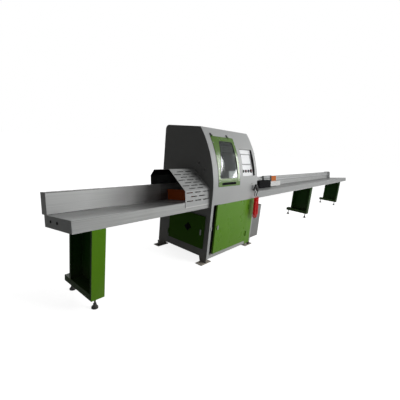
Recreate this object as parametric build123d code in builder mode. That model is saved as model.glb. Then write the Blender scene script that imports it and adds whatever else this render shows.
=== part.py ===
from build123d import *
import math
import os

os.makedirs("parts", exist_ok=True)

# Pallet block cutoff saw, in millimetres.
# X runs along the tables, Y from the operator's side to the back, Z up from the floor.

# Cabinet
CABINET_WIDTH = 1110.0
CABINET_DEPTH = 910.0
CABINET_HEIGHT = 1720.0
SIDE_PLATE = 6.0
SKIN = 3.0
CREASE_HEIGHT = 886.0
TOP_FRONT_INSET = 295.0
BACK_CORNER_RADIUS = 60.0
ARCH_HEIGHT = 75.0
ARCH_HALF = 330.0
ARCH_SLOPE = 20.0
FOOT_LENGTH = 200.0
FOOT_WIDTH = 100.0
FOOT_PLATE = 10.0
FOOT_OVERHANG = 90.0
ANCHOR_HOLE_RADIUS = 9.0
ANCHOR_INSET = 40.0
RAIL_SIZE = 60.0
RAIL_WALL = 4.0

# Tilted bed: a runs back along the bed from its front edge, b stands square to it
BED_TILT = 8.5
BED_FRONT_Y = -404.0
BED_FRONT_HEIGHT = 850.0
TABLE_DEPTH = 505.0
APRON = 107.0
TABLE_SHEET = 4.0
FENCE_FACE = 446.0
FENCE_DEPTH = 106.0
FENCE_HEIGHT = 200.0
OUTFEED_LENGTH = 1710.0
INFEED_LENGTH = 6320.0
INFEED_FENCE_LENGTH = 5800.0
END_HOLE_RADIUS = 12.0
END_HOLE_A = 314.0
END_HOLE_SPACING = 127.0
END_HOLE_DROP = 48.0
FENCE_GROOVE = 8.0
FENCE_GROOVE_DEPTH = 5.0

# Stock tunnel through the side plates
TUNNEL_FRONT = 15.0
TUNNEL_BACK = 440.0
TUNNEL_HEIGHT = 330.0
TUNNEL_SHOULDER = 260.0
TUNNEL_LIP = 115.0

# Legs and levelling feet
LEG_WIDTH = 126.0
LEG_DEPTH = 395.0
LEG_FRONT_Y = -426.0
LEG_SHEET = 4.0
LEG_LIP = 25.0
LEG_BOTTOM = 107.0
LEG_BAR_LENGTH = 494.0
LEG_BAR_HEIGHT = 58.0
LEG_HEAD = 6.0
LEG_HEAD_LENGTH = 486.0
OUTFEED_LEG_X = -2043.0
INFEED_LEG_X = 3366.0
INFEED_LEG_PITCH = 2691.0
PAD_RADIUS = 30.0
PAD_HEIGHT = 12.0
STUD_RADIUS = 8.0
STUD_CLEARANCE = 0.05
PAD_FRONT_INSET = 51.0
PAD_BACK_INSET = 32.0

# Worked out from the sizes above
HALF_WIDTH = CABINET_WIDTH / 2
HALF_DEPTH = CABINET_DEPTH / 2
PAD_FRONT_Y = LEG_FRONT_Y + PAD_FRONT_INSET
PAD_BACK_Y = LEG_FRONT_Y + LEG_BAR_LENGTH - PAD_BACK_INSET
INNER_X = HALF_WIDTH - SIDE_PLATE
TOP_RISE = CABINET_HEIGHT - CREASE_HEIGHT
FRONT_RADIUS = (TOP_FRONT_INSET**2 + TOP_RISE**2) / (2 * TOP_FRONT_INSET)
FRONT_CENTRE_Y = FRONT_RADIUS - HALF_DEPTH
TILT_SIN = math.sin(math.radians(BED_TILT))
TILT_COS = math.cos(math.radians(BED_TILT))
FENCE_BACK = FENCE_FACE + FENCE_DEPTH
OUTFEED_END = -HALF_WIDTH - OUTFEED_LENGTH


def front_y(z, inset=0.0):
    """Y of the curved front at height z, on the surface that lies inset below the skin's outside."""
    return FRONT_CENTRE_Y - math.sqrt((FRONT_RADIUS - inset) ** 2 - (z - CREASE_HEIGHT) ** 2)


def front_plane(x, z, inset=0.0):
    """Plane on the curved front: x to the right, y up along the curve, z outwards."""
    y = front_y(z, inset)
    outward = (0, y - FRONT_CENTRE_Y, z - CREASE_HEIGHT)
    return Plane(origin=(x, y, z), x_dir=(1, 0, 0), z_dir=outward)


def bed_plane(b=0.0):
    """Plane of the bed raised by b: x along the table, y back along the bed, z square to it."""
    origin = (0, BED_FRONT_Y + b * TILT_SIN, BED_FRONT_HEIGHT + b * TILT_COS)
    return Plane(origin=origin, x_dir=(1, 0, 0), z_dir=(0, TILT_SIN, TILT_COS))


def bed_section(x):
    """Plane across the bed at x: its x is a, its y is b and its z runs along the table."""
    origin = (x, BED_FRONT_Y, BED_FRONT_HEIGHT)
    return Plane(origin=origin, x_dir=(0, TILT_COS, -TILT_SIN), z_dir=(1, 0, 0))


def bed_front(a):
    """Plane that stands on the bed at a, facing the operator: its x is X and its y is b."""
    origin = (0, BED_FRONT_Y + a * TILT_COS, BED_FRONT_HEIGHT - a * TILT_SIN)
    return Plane(origin=origin, x_dir=(1, 0, 0), z_dir=(0, -TILT_COS, TILT_SIN))


def cabinet_face(inset, bottom):
    """Side view of the cabinet down to a flat bottom, drawn inset below its outside."""
    top = CABINET_HEIGHT - inset
    front = -HALF_DEPTH + inset
    back = HALF_DEPTH - inset
    corner = BACK_CORNER_RADIUS - inset
    middle = (CREASE_HEIGHT + top) / 2
    with BuildSketch() as face:
        with BuildLine():
            Line((front, bottom), (front, CREASE_HEIGHT))
            ThreePointArc(
                (front, CREASE_HEIGHT), (front_y(middle, inset), middle), (front_y(top, inset), top)
            )
            Line((front_y(top, inset), top), (back - corner, top))
            TangentArc((back - corner, top), (back, top - corner), tangent=(1, 0))
            Polyline((back, top - corner), (back, bottom), (front, bottom))
        make_face()
    return face.sketch_local


def save(piece, name):
    """Label a finished piece and write it under its node name."""
    piece.part.label = name
    export_step(piece.part, f"parts/{name}.step")


# Cabinet side plates, with the arch between the feet and the tunnel for the stock
SIDE_DOOR_BACK = 238.0
SIDE_DOOR_LENGTH = 618.0
SIDE_DOOR_BOTTOM = 185.0
SIDE_DOOR_HEIGHT = 430.0
SIDE_DOOR_OVERLAP = 12.0
SIDE_HOLE_RADIUS = 10.0
SIDE_HOLES = ((-188.0, 1270.0), (-288.0, 1196.0))
SIDE_DOOR_Y = SIDE_DOOR_BACK - SIDE_DOOR_LENGTH / 2
SIDE_DOOR_Z = SIDE_DOOR_BOTTOM + SIDE_DOOR_HEIGHT / 2


def side_plate(x):
    """One side plate whose left face lies at x."""
    with BuildPart() as plate:
        with BuildSketch(Plane.YZ.offset(x)):
            add(cabinet_face(SKIN, FOOT_PLATE))
            with BuildLine():
                Polyline(
                    (-ARCH_HALF - ARCH_SLOPE, FOOT_PLATE),
                    (-ARCH_HALF, ARCH_HEIGHT),
                    (ARCH_HALF, ARCH_HEIGHT),
                    (ARCH_HALF + ARCH_SLOPE, FOOT_PLATE),
                    close=True,
                )
            make_face(mode=Mode.SUBTRACT)
        extrude(amount=SIDE_PLATE)
        with BuildSketch(bed_section(x)):
            with BuildLine():
                Polyline(
                    (TUNNEL_FRONT, 0),
                    (TUNNEL_BACK, 0),
                    (TUNNEL_BACK, TUNNEL_HEIGHT),
                    (TUNNEL_SHOULDER, TUNNEL_HEIGHT),
                    (TUNNEL_FRONT, TUNNEL_LIP),
                    close=True,
                )
            make_face()
        extrude(amount=SIDE_PLATE, mode=Mode.SUBTRACT)
    return plate.part


with BuildPart() as cabinet_left_side:
    add(side_plate(-HALF_WIDTH))
    with BuildSketch(Plane.YZ.offset(-HALF_WIDTH)):
        with Locations((SIDE_DOOR_Y, SIDE_DOOR_Z)):
            Rectangle(SIDE_DOOR_LENGTH - 2 * SIDE_DOOR_OVERLAP, SIDE_DOOR_HEIGHT - 2 * SIDE_DOOR_OVERLAP)
        with Locations(*SIDE_HOLES):
            Circle(SIDE_HOLE_RADIUS)
    extrude(amount=SIDE_PLATE, mode=Mode.SUBTRACT)
save(cabinet_left_side, "cabinet_left_side")

with BuildPart() as cabinet_right_side:
    add(side_plate(INNER_X))
save(cabinet_right_side, "cabinet_right_side")

# Dust port, shared by the back panel and the chute behind the blade
DUST_X = -60.0
DUST_HEIGHT = 210.0
DUST_RADIUS = 75.0
DUST_REACH = 75.0
CHUTE_WIDTH = 150.0
CHUTE_SHEET = 3.0
CHUTE_FRONT_Y = -425.0
CHUTE_MOUTH_BACK_Y = 60.0
DUST_CLEARANCE = 0.5
DUST_NECK = 1.0
CHUTE_BOTTOM = DUST_HEIGHT - DUST_RADIUS
CHUTE_BACK_Y = HALF_DEPTH - SKIN

with BuildPart() as cabinet_back:
    with BuildSketch(Plane.XZ.offset(-HALF_DEPTH)):
        with Locations((0, (ARCH_HEIGHT + CABINET_HEIGHT - BACK_CORNER_RADIUS) / 2)):
            Rectangle(CABINET_WIDTH, CABINET_HEIGHT - BACK_CORNER_RADIUS - ARCH_HEIGHT)
        with Locations((DUST_X, DUST_HEIGHT)):
            Circle(DUST_RADIUS + DUST_CLEARANCE, mode=Mode.SUBTRACT)
    extrude(amount=SKIN)
save(cabinet_back, "cabinet_back")

# Curved front and top skin, with openings for the hatch and the control recess
HATCH_LEFT_MARGIN = 105.0
HATCH_RIGHT_MARGIN = 500.0
HATCH_BOTTOM = 1000.0
HATCH_TOP_MARGIN = 100.0
HATCH_CORNER = 10.0
HATCH_SHEET = 4.5
HATCH_GAP = 0.5
HATCH_OVERLAP = 12.0
CONTROL_MARGIN = 242.0
CONTROL_WIDTH = 346.0
CONTROL_HEIGHT = 368.0
CONTROL_TOP_MARGIN = 234.0
CONTROL_CORNER = 12.0
HATCH_LEFT = -HALF_WIDTH + HATCH_LEFT_MARGIN
HATCH_RIGHT = HALF_WIDTH - HATCH_RIGHT_MARGIN
HATCH_TOP = CABINET_HEIGHT - HATCH_TOP_MARGIN
HATCH_WIDTH = HATCH_RIGHT - HATCH_LEFT
CONTROL_X = HALF_WIDTH - CONTROL_MARGIN
CONTROL_TOP = CABINET_HEIGHT - CONTROL_TOP_MARGIN
CONTROL_BOTTOM = CONTROL_TOP - CONTROL_HEIGHT
HATCH_X = HATCH_LEFT + HATCH_WIDTH / 2
HATCH_Z = (HATCH_BOTTOM + HATCH_TOP) / 2
CONTROL_Z = (CONTROL_BOTTOM + CONTROL_TOP) / 2
FRONT_SPAN = HALF_DEPTH

with BuildPart() as cabinet_shell:
    with BuildSketch(Plane.YZ):
        add(cabinet_face(0, FOOT_PLATE))
        add(cabinet_face(SKIN, FOOT_PLATE), mode=Mode.SUBTRACT)
        with Locations((0, 0)):
            Rectangle(2 * CABINET_DEPTH, 2 * CREASE_HEIGHT, mode=Mode.SUBTRACT)
        with Locations((HALF_DEPTH, CREASE_HEIGHT)):
            Rectangle(
                2 * BACK_CORNER_RADIUS,
                2 * (CABINET_HEIGHT - BACK_CORNER_RADIUS - CREASE_HEIGHT),
                mode=Mode.SUBTRACT,
            )
    extrude(amount=HALF_WIDTH, both=True)
    with BuildSketch(Plane.XZ):
        with Locations((HATCH_X, HATCH_Z)):
            Rectangle(HATCH_WIDTH - 2 * HATCH_OVERLAP, HATCH_TOP - HATCH_BOTTOM - 2 * HATCH_OVERLAP)
        with Locations((CONTROL_X, CONTROL_Z)):
            RectangleRounded(CONTROL_WIDTH, CONTROL_HEIGHT, CONTROL_CORNER)
    extrude(amount=FRONT_SPAN, mode=Mode.SUBTRACT)
save(cabinet_shell, "cabinet_shell")

# Lower front: fascia, posts, recessed latch channel and hinge stile around the door
DOOR_LEFT_STILE = 130.0
DOOR_RIGHT_STILE = 175.0
DOOR_BOTTOM = 108.0
DOOR_TOP = 770.0
DOOR_GAP = 1.5
DOOR_THICK = 25.0
DOOR_SHEET = 2.0
FRAME_BOTTOM = 60.0
RECESS_STILE = 45.0
RECESS_DEPTH = 40.0
KEEPER_INSET = 35.0
KEEPER_SIZE = 22.0
KEEPER_THICK = 7.0
LATCH_INSET = 37.0
LATCH_Z = 467.0
DOOR_LEFT = -HALF_WIDTH + DOOR_LEFT_STILE
DOOR_RIGHT = HALF_WIDTH - DOOR_RIGHT_STILE
RECESS_LEFT = -HALF_WIDTH + RECESS_STILE
KEEPER_X = -HALF_WIDTH + KEEPER_INSET
LATCH_X = DOOR_LEFT + LATCH_INSET
DOOR_Z = (DOOR_BOTTOM + DOOR_TOP) / 2
DOOR_HEIGHT = DOOR_TOP - DOOR_BOTTOM
OPENING_LEFT = RECESS_LEFT
OPENING_RIGHT = DOOR_RIGHT + DOOR_GAP
RECESS_WIDTH = DOOR_LEFT - RECESS_LEFT
RECESS_BACK_Y = -HALF_DEPTH + RECESS_DEPTH

with BuildPart() as front_frame:
    with BuildSketch(Plane.XZ.offset(HALF_DEPTH - SKIN)):
        with Locations((0, (FRAME_BOTTOM + CREASE_HEIGHT) / 2)):
            Rectangle(CABINET_WIDTH, CREASE_HEIGHT - FRAME_BOTTOM)
        with Locations(((OPENING_LEFT + OPENING_RIGHT) / 2, DOOR_Z)):
            Rectangle(OPENING_RIGHT - OPENING_LEFT, DOOR_HEIGHT + 2 * DOOR_GAP, mode=Mode.SUBTRACT)
    extrude(amount=SKIN)
    with BuildSketch(Plane.XZ.offset(-RECESS_BACK_Y)):
        with Locations((RECESS_LEFT + RECESS_WIDTH / 2, DOOR_Z)):
            Rectangle(RECESS_WIDTH + 2 * SKIN, DOOR_HEIGHT + 2 * DOOR_GAP + 2 * SKIN)
    extrude(amount=SKIN)
    with BuildSketch(Plane.XZ.offset(-RECESS_BACK_Y)):
        with Locations((RECESS_LEFT - SKIN / 2, DOOR_Z)):
            Rectangle(SKIN, DOOR_HEIGHT + 2 * DOOR_GAP + 2 * SKIN)
    extrude(amount=RECESS_DEPTH)
    with BuildSketch(Plane.XZ.offset(HALF_DEPTH)):
        with Locations((KEEPER_X, LATCH_Z)):
            Rectangle(KEEPER_SIZE, 2 * KEEPER_SIZE)
    extrude(amount=KEEPER_THICK)
save(front_frame, "front_frame")

# Saw unit places, used by the frame that carries it
PIVOT_Y = 180.0
PIVOT_Z = 430.0
PIVOT_SHAFT_RADIUS = 17.5
ARM_LEFT = 60.0
ARM_WIDTH = 60.0
BLOCK_WIDTH = 30.0
BLOCK_GAP = 8.0
BLOCK_RADIUS = 30.0
LIFT_PIN_FORWARD = 195.0
FORK_CENTRE_SHIFT = 1.0
PEDESTAL_DEPTH = 60.0
BLOCK_FOOT = 40.0
RUNNING_FIT = 0.05
ARM_X = ARM_LEFT + ARM_WIDTH / 2
LEFT_BLOCK_X = ARM_LEFT - BLOCK_GAP - BLOCK_WIDTH / 2
RIGHT_BLOCK_X = ARM_LEFT + ARM_WIDTH + BLOCK_GAP + BLOCK_WIDTH / 2
RAIL_TOP = ARCH_HEIGHT + RAIL_SIZE
PEDESTAL_TOP = PIVOT_Z - BLOCK_FOOT
LIFT_PIN_Y = PIVOT_Y - LIFT_PIN_FORWARD
LIFT_ROD_Y = LIFT_PIN_Y + FORK_CENTRE_SHIFT

# Clamp places
CLAMP_A = 255.0
CLAMP_BEAM_B = 620.0
CLAMP_BEAM = 80.0

# Welded base frame with foot plates, cross rails, pivot pedestals and the clamp beam
FRONT_RAIL_Y = -HALF_DEPTH + SKIN + RECESS_DEPTH + RAIL_SIZE / 2
BACK_RAIL_Y = HALF_DEPTH - SKIN - RAIL_SIZE / 2
ANCHOR_X = HALF_WIDTH + FOOT_OVERHANG - ANCHOR_INSET
ANCHOR_Y = HALF_DEPTH - FOOT_WIDTH / 2
FOOT_X = HALF_WIDTH + FOOT_OVERHANG - FOOT_LENGTH / 2
POST_X = INNER_X - RAIL_SIZE / 2
POST_Y = HALF_DEPTH - FOOT_WIDTH + RAIL_SIZE / 2
RAIL_PLACES = [(y, ARCH_HEIGHT + RAIL_SIZE / 2) for y in (FRONT_RAIL_Y, LIFT_ROD_Y, PIVOT_Y, BACK_RAIL_Y)]

with BuildPart() as cabinet_frame:
    with BuildSketch(Plane.XY):
        for side in (-1, 1):
            for end in (-1, 1):
                with Locations((side * FOOT_X, end * ANCHOR_Y)):
                    Rectangle(FOOT_LENGTH, FOOT_WIDTH)
                with Locations((side * ANCHOR_X, end * ANCHOR_Y)):
                    Circle(ANCHOR_HOLE_RADIUS, mode=Mode.SUBTRACT)
    extrude(amount=FOOT_PLATE)
    with BuildSketch(Plane.YZ.offset(-INNER_X)):
        with Locations(*RAIL_PLACES):
            Rectangle(RAIL_SIZE, RAIL_SIZE)
            Rectangle(RAIL_SIZE - 2 * RAIL_WALL, RAIL_SIZE - 2 * RAIL_WALL, mode=Mode.SUBTRACT)
    extrude(amount=2 * INNER_X)
    with BuildSketch(Plane.XY.offset(RAIL_TOP)):
        with Locations((LEFT_BLOCK_X, PIVOT_Y), (RIGHT_BLOCK_X, PIVOT_Y)):
            Rectangle(BLOCK_WIDTH, PEDESTAL_DEPTH)
    extrude(amount=PEDESTAL_TOP - RAIL_TOP)
    with BuildSketch(bed_section(-INNER_X)):
        with Locations((CLAMP_A, CLAMP_BEAM_B + CLAMP_BEAM / 2)):
            Rectangle(CLAMP_BEAM, CLAMP_BEAM)
            Rectangle(CLAMP_BEAM - 2 * RAIL_WALL, CLAMP_BEAM - 2 * RAIL_WALL, mode=Mode.SUBTRACT)
    extrude(amount=2 * INNER_X)
    with BuildSketch(Plane.XY.offset(FOOT_PLATE)):
        for side in (-1, 1):
            for end in (-1, 1):
                with Locations((side * POST_X, end * POST_Y)):
                    Rectangle(RAIL_SIZE, RAIL_SIZE)
    extrude(amount=ARCH_HEIGHT - FOOT_PLATE)
save(cabinet_frame, "cabinet_frame")

# Service box on the right side plate, with a dark lid and two feet brackets
BOX_WIDTH = 240.0
BOX_DEPTH = 320.0
BOX_BOTTOM = 120.0
BOX_HEIGHT = 520.0
BOX_SHEET = 3.0
BOX_LID = 8.0
BOX_LID_LIP = 5.0
BOX_X = HALF_WIDTH + BOX_WIDTH / 2
BOX_Y = -HALF_DEPTH + BOX_DEPTH / 2

with BuildPart() as service_box:
    with BuildSketch(Plane.XY.offset(BOX_BOTTOM)):
        with Locations((BOX_X, BOX_Y)):
            Rectangle(BOX_WIDTH, BOX_DEPTH)
    extrude(amount=BOX_HEIGHT - BOX_LID)
    with BuildSketch(Plane.XY.offset(BOX_BOTTOM)):
        with Locations((BOX_X, BOX_Y)):
            Rectangle(BOX_WIDTH - 2 * BOX_SHEET, BOX_DEPTH - 2 * BOX_SHEET)
    extrude(amount=BOX_HEIGHT - BOX_LID - BOX_SHEET, mode=Mode.SUBTRACT)
    with BuildSketch(Plane.XY.offset(BOX_BOTTOM + BOX_HEIGHT - BOX_LID)):
        with Locations((BOX_X + BOX_LID_LIP / 2, BOX_Y)):
            Rectangle(BOX_WIDTH + BOX_LID_LIP, BOX_DEPTH)
    extrude(amount=BOX_LID)
save(service_box, "service_box")

# Control recess: box behind the skin, white face, screen and push buttons
CONTROL_DEPTH = 27.0
CONTROL_SHEET = 3.0
CONTROL_REACH = 120.0
FACE_SHEET = 3.0
FACE_MARGIN = 4.0
SCREEN_WIDTH = 262.0
SCREEN_HEIGHT = 150.0
SCREEN_THICK = 7.0
SCREEN_RISE = 52.0
SCREEN_CORNER = 6.0
BUTTON_DROP = 118.0
BUTTON_RADIUS = 13.0
BUTTON_STEM_RADIUS = 8.0
BUTTON_HEIGHT = 12.0
BUTTON_STEM = 22.0
BUTTON_LIFT = 4.0
BUTTON_CHAMFER = 1.5
STOP_RADIUS = 20.0
BUTTON_PLACES = {"start_button": -110.0, "stop_button": -38.0, "reset_button": 34.0}
STOP_PLACE = 112.0
CHORD_Y = front_y(CONTROL_TOP) - front_y(CONTROL_BOTTOM)
CHORD = math.hypot(CHORD_Y, CONTROL_HEIGHT)
CONTROL_NORMAL = (0, -CONTROL_HEIGHT / CHORD, CHORD_Y / CHORD)
CHORD_MIDDLE_Y = (front_y(CONTROL_TOP) + front_y(CONTROL_BOTTOM)) / 2


def control_plane(depth):
    """Plane of the control face, depth below the chord across the recess."""
    y = CHORD_MIDDLE_Y - depth * CONTROL_NORMAL[1]
    z = CONTROL_Z - depth * CONTROL_NORMAL[2]
    return Plane(origin=(CONTROL_X, y, z), x_dir=(1, 0, 0), z_dir=CONTROL_NORMAL)


FACE_LEVEL = CONTROL_DEPTH - FACE_SHEET
BUTTON_SPOTS = [(place, -BUTTON_DROP) for place in (*BUTTON_PLACES.values(), STOP_PLACE)]

with BuildPart() as control_box:
    with BuildSketch(control_plane(CONTROL_DEPTH + CONTROL_SHEET)):
        Rectangle(CONTROL_WIDTH + 2 * CONTROL_SHEET, CHORD + 2 * CONTROL_SHEET)
    extrude(amount=CONTROL_REACH)
    with BuildSketch(control_plane(CONTROL_DEPTH)):
        Rectangle(CONTROL_WIDTH, CHORD)
    extrude(amount=CONTROL_REACH, mode=Mode.SUBTRACT)
    with BuildSketch(control_plane(CONTROL_DEPTH + CONTROL_SHEET)):
        with Locations(*BUTTON_SPOTS):
            Circle(BUTTON_STEM_RADIUS + RUNNING_FIT)
    extrude(amount=CONTROL_SHEET, mode=Mode.SUBTRACT)
    with BuildSketch(Plane.YZ.offset(CONTROL_X)):
        add(cabinet_face(SKIN, FOOT_PLATE))
    extrude(amount=CONTROL_WIDTH, both=True, mode=Mode.INTERSECT)
save(control_box, "control_box")

with BuildPart() as control_panel:
    with BuildSketch(control_plane(CONTROL_DEPTH)):
        Rectangle(CONTROL_WIDTH - 2 * FACE_MARGIN, CHORD - 2 * FACE_MARGIN)
        with Locations(*BUTTON_SPOTS):
            Circle(BUTTON_STEM_RADIUS + RUNNING_FIT, mode=Mode.SUBTRACT)
    extrude(amount=FACE_SHEET)
save(control_panel, "control_panel")

with BuildPart() as touch_screen:
    with BuildSketch(control_plane(FACE_LEVEL)):
        with Locations((0, SCREEN_RISE)):
            RectangleRounded(SCREEN_WIDTH, SCREEN_HEIGHT, SCREEN_CORNER)
    extrude(amount=SCREEN_THICK)
save(touch_screen, "touch_screen")


def push_button(place, radius):
    """Push button with its stem through the control face, standing clear by its travel."""
    with BuildPart() as button:
        with BuildSketch(control_plane(FACE_LEVEL - BUTTON_LIFT)):
            with Locations((place, -BUTTON_DROP)):
                Circle(radius)
        extrude(amount=BUTTON_HEIGHT)
        chamfer(button.edges().group_by(Axis((0, 0, 0), CONTROL_NORMAL))[-1], BUTTON_CHAMFER)
        with BuildSketch(control_plane(FACE_LEVEL - BUTTON_LIFT)):
            with Locations((place, -BUTTON_DROP)):
                Circle(BUTTON_STEM_RADIUS)
        extrude(amount=-BUTTON_STEM)
    return button


for button_name, button_place in BUTTON_PLACES.items():
    save(push_button(button_place, BUTTON_RADIUS), button_name)
save(push_button(STOP_PLACE, STOP_RADIUS), "emergency_stop")

# Window hatch on the curved front, hung from two hinges at its top edge
WINDOW_RIGHT_MARGIN = 65.0
WINDOW_LEFT_MARGIN = 38.0
WINDOW_LEAN = 110.0
WINDOW_TOP_MARGIN = 62.0
WINDOW_BOTTOM_MARGIN = 110.0
WINDOW_CORNER = 28.0
PANE_SHEET = 4.0
PANE_LAP = 12.0
BODY_GAP = 0.1
HANDLE_LEFT_MARGIN = 77.5
HANDLE_RIGHT_MARGIN = 102.5
HANDLE_RISE = 36.0
HANDLE_HEIGHT = 34.0
HANDLE_CORNER = 8.0
HANDLE_DEPTH = 26.0
HANDLE_WALL = 3.0
HATCH_HINGE_LEFT = 25.0
HATCH_HINGE_RIGHT = 125.0
HATCH_HINGE_RISE = 8.0
HATCH_AXIS_LIFT = 10.0
HATCH_KNUCKLE_RADIUS = 8.0
HATCH_KNUCKLE = 16.0
HATCH_LEAF = 24.0
PIN_RADIUS = 4.0
KNUCKLE_GAP = 0.5
WINDOW_RIGHT = HATCH_RIGHT - WINDOW_RIGHT_MARGIN
WINDOW_TOP = HATCH_TOP - WINDOW_TOP_MARGIN
WINDOW_BOTTOM = HATCH_BOTTOM + WINDOW_BOTTOM_MARGIN
WINDOW_BOTTOM_WIDTH = WINDOW_RIGHT - HATCH_LEFT - WINDOW_LEFT_MARGIN
WINDOW_TOP_WIDTH = WINDOW_BOTTOM_WIDTH - WINDOW_LEAN
HANDLE_WIDTH = HATCH_WIDTH - HANDLE_LEFT_MARGIN - HANDLE_RIGHT_MARGIN
HANDLE_X = HATCH_LEFT + HANDLE_LEFT_MARGIN + HANDLE_WIDTH / 2
HANDLE_Z = HATCH_BOTTOM + HANDLE_RISE
HATCH_HINGE_X = (HATCH_LEFT + HATCH_HINGE_LEFT, HATCH_RIGHT - HATCH_HINGE_RIGHT)
HATCH_AXIS_Z = HATCH_TOP + HATCH_HINGE_RISE
LEAF_RADIUS = FRONT_RADIUS + HATCH_GAP
AXIS_RADIUS = FRONT_RADIUS + HATCH_AXIS_LIFT
HATCH_LEAF_Z = CREASE_HEIGHT + (HATCH_AXIS_Z - CREASE_HEIGHT) * LEAF_RADIUS / AXIS_RADIUS
HATCH_AXIS = front_plane(0, HATCH_AXIS_Z, -HATCH_AXIS_LIFT).origin
FRONT_REACH = FRONT_SPAN + HATCH_AXIS_LIFT


def front_layer(outline, deep, shallow):
    """Part of the layer between two insets of the curved front that lies behind an X-Z outline."""
    with BuildPart() as layer:
        with BuildSketch(Plane.YZ):
            add(cabinet_face(shallow, FOOT_PLATE))
            add(cabinet_face(deep, FOOT_PLATE), mode=Mode.SUBTRACT)
        extrude(amount=HALF_WIDTH, both=True)
        with BuildSketch(Plane.XZ):
            add(outline)
        extrude(amount=FRONT_REACH, mode=Mode.INTERSECT)
    return layer.part


def window_outline(lap):
    """Outline of the window, wider than the clear opening by lap on every side."""
    with BuildSketch() as outline:
        with BuildLine():
            Polyline(
                (WINDOW_RIGHT - WINDOW_TOP_WIDTH - lap, WINDOW_TOP + lap),
                (WINDOW_RIGHT + lap, WINDOW_TOP + lap),
                (WINDOW_RIGHT + lap, WINDOW_BOTTOM - lap),
                (WINDOW_RIGHT - WINDOW_BOTTOM_WIDTH - lap, WINDOW_BOTTOM - lap),
                close=True,
            )
        make_face()
        fillet(outline.vertices(), WINDOW_CORNER)
    return outline.sketch_local


with BuildSketch() as hatch_outline:
    with Locations((HATCH_X, HATCH_Z)):
        RectangleRounded(HATCH_WIDTH, HATCH_TOP - HATCH_BOTTOM, HATCH_CORNER)
    add(window_outline(0), mode=Mode.SUBTRACT)
    with Locations((HANDLE_X, HANDLE_Z)):
        RectangleRounded(HANDLE_WIDTH, HANDLE_HEIGHT, HANDLE_CORNER, mode=Mode.SUBTRACT)

with BuildPart() as hatch_frame:
    add(front_layer(hatch_outline.sketch_local, -HATCH_GAP, -HATCH_GAP - HATCH_SHEET))
    for hinge_x in HATCH_HINGE_X:
        with BuildSketch(front_plane(hinge_x + HATCH_KNUCKLE / 2, HATCH_LEAF_Z, -HATCH_GAP)):
            with Locations((0, -HATCH_LEAF / 2)):
                Rectangle(HATCH_KNUCKLE, HATCH_LEAF)
        extrude(amount=HATCH_AXIS_LIFT - HATCH_GAP)
        with BuildSketch(Plane.YZ.offset(hinge_x)):
            with Locations((HATCH_AXIS.Y, HATCH_AXIS.Z)):
                Circle(HATCH_KNUCKLE_RADIUS)
        extrude(amount=HATCH_KNUCKLE)
        with BuildSketch(Plane.YZ.offset(hinge_x)):
            with Locations((HATCH_AXIS.Y, HATCH_AXIS.Z)):
                Circle(PIN_RADIUS + RUNNING_FIT)
        extrude(amount=HATCH_KNUCKLE, mode=Mode.SUBTRACT)
save(hatch_frame, "hatch_frame")

PANE_SKIN = BODY_GAP - HATCH_GAP

with BuildPart() as hatch_pane:
    add(front_layer(window_outline(PANE_LAP), PANE_SKIN + PANE_SHEET, PANE_SKIN))
save(hatch_pane, "hatch_pane")

with BuildSketch() as handle_outline:
    with Locations((HANDLE_X, HANDLE_Z)):
        Rectangle(HANDLE_WIDTH + 2 * HANDLE_WALL, HANDLE_HEIGHT + 2 * HANDLE_WALL)

with BuildPart() as hatch_handle:
    add(front_layer(handle_outline.sketch_local, PANE_SKIN + HANDLE_DEPTH, PANE_SKIN))
    with BuildSketch(front_plane(HANDLE_X, HANDLE_Z, HANDLE_DEPTH - HANDLE_WALL)):
        RectangleRounded(HANDLE_WIDTH, HANDLE_HEIGHT, HANDLE_CORNER)
    extrude(amount=HANDLE_DEPTH + HATCH_AXIS_LIFT, mode=Mode.SUBTRACT)
save(hatch_handle, "hatch_handle")

# Front door with its latch
DOOR_HINGE_LIFT = 8.0
DOOR_KNUCKLE_RADIUS = 7.0
DOOR_KNUCKLE = 26.0
DOOR_LEAF = 35.0
DOOR_LEAF_SHEET = 3.0
DOOR_HINGE_Z = (190.0, 610.0)
DOOR_AXIS_X = DOOR_RIGHT + DOOR_GAP / 2
DOOR_AXIS_Y = -HALF_DEPTH - DOOR_HINGE_LIFT
LATCH_SHAFT = 8.0
LATCH_BOSS = 16.0
LATCH_BOSS_HEIGHT = 6.0
LATCH_LEVER = 62.0
LATCH_LEVER_WIDTH = 20.0
LATCH_LEVER_THICK = 8.0
LATCH_CAM = 40.0
LATCH_CAM_THICK = 4.0

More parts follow.
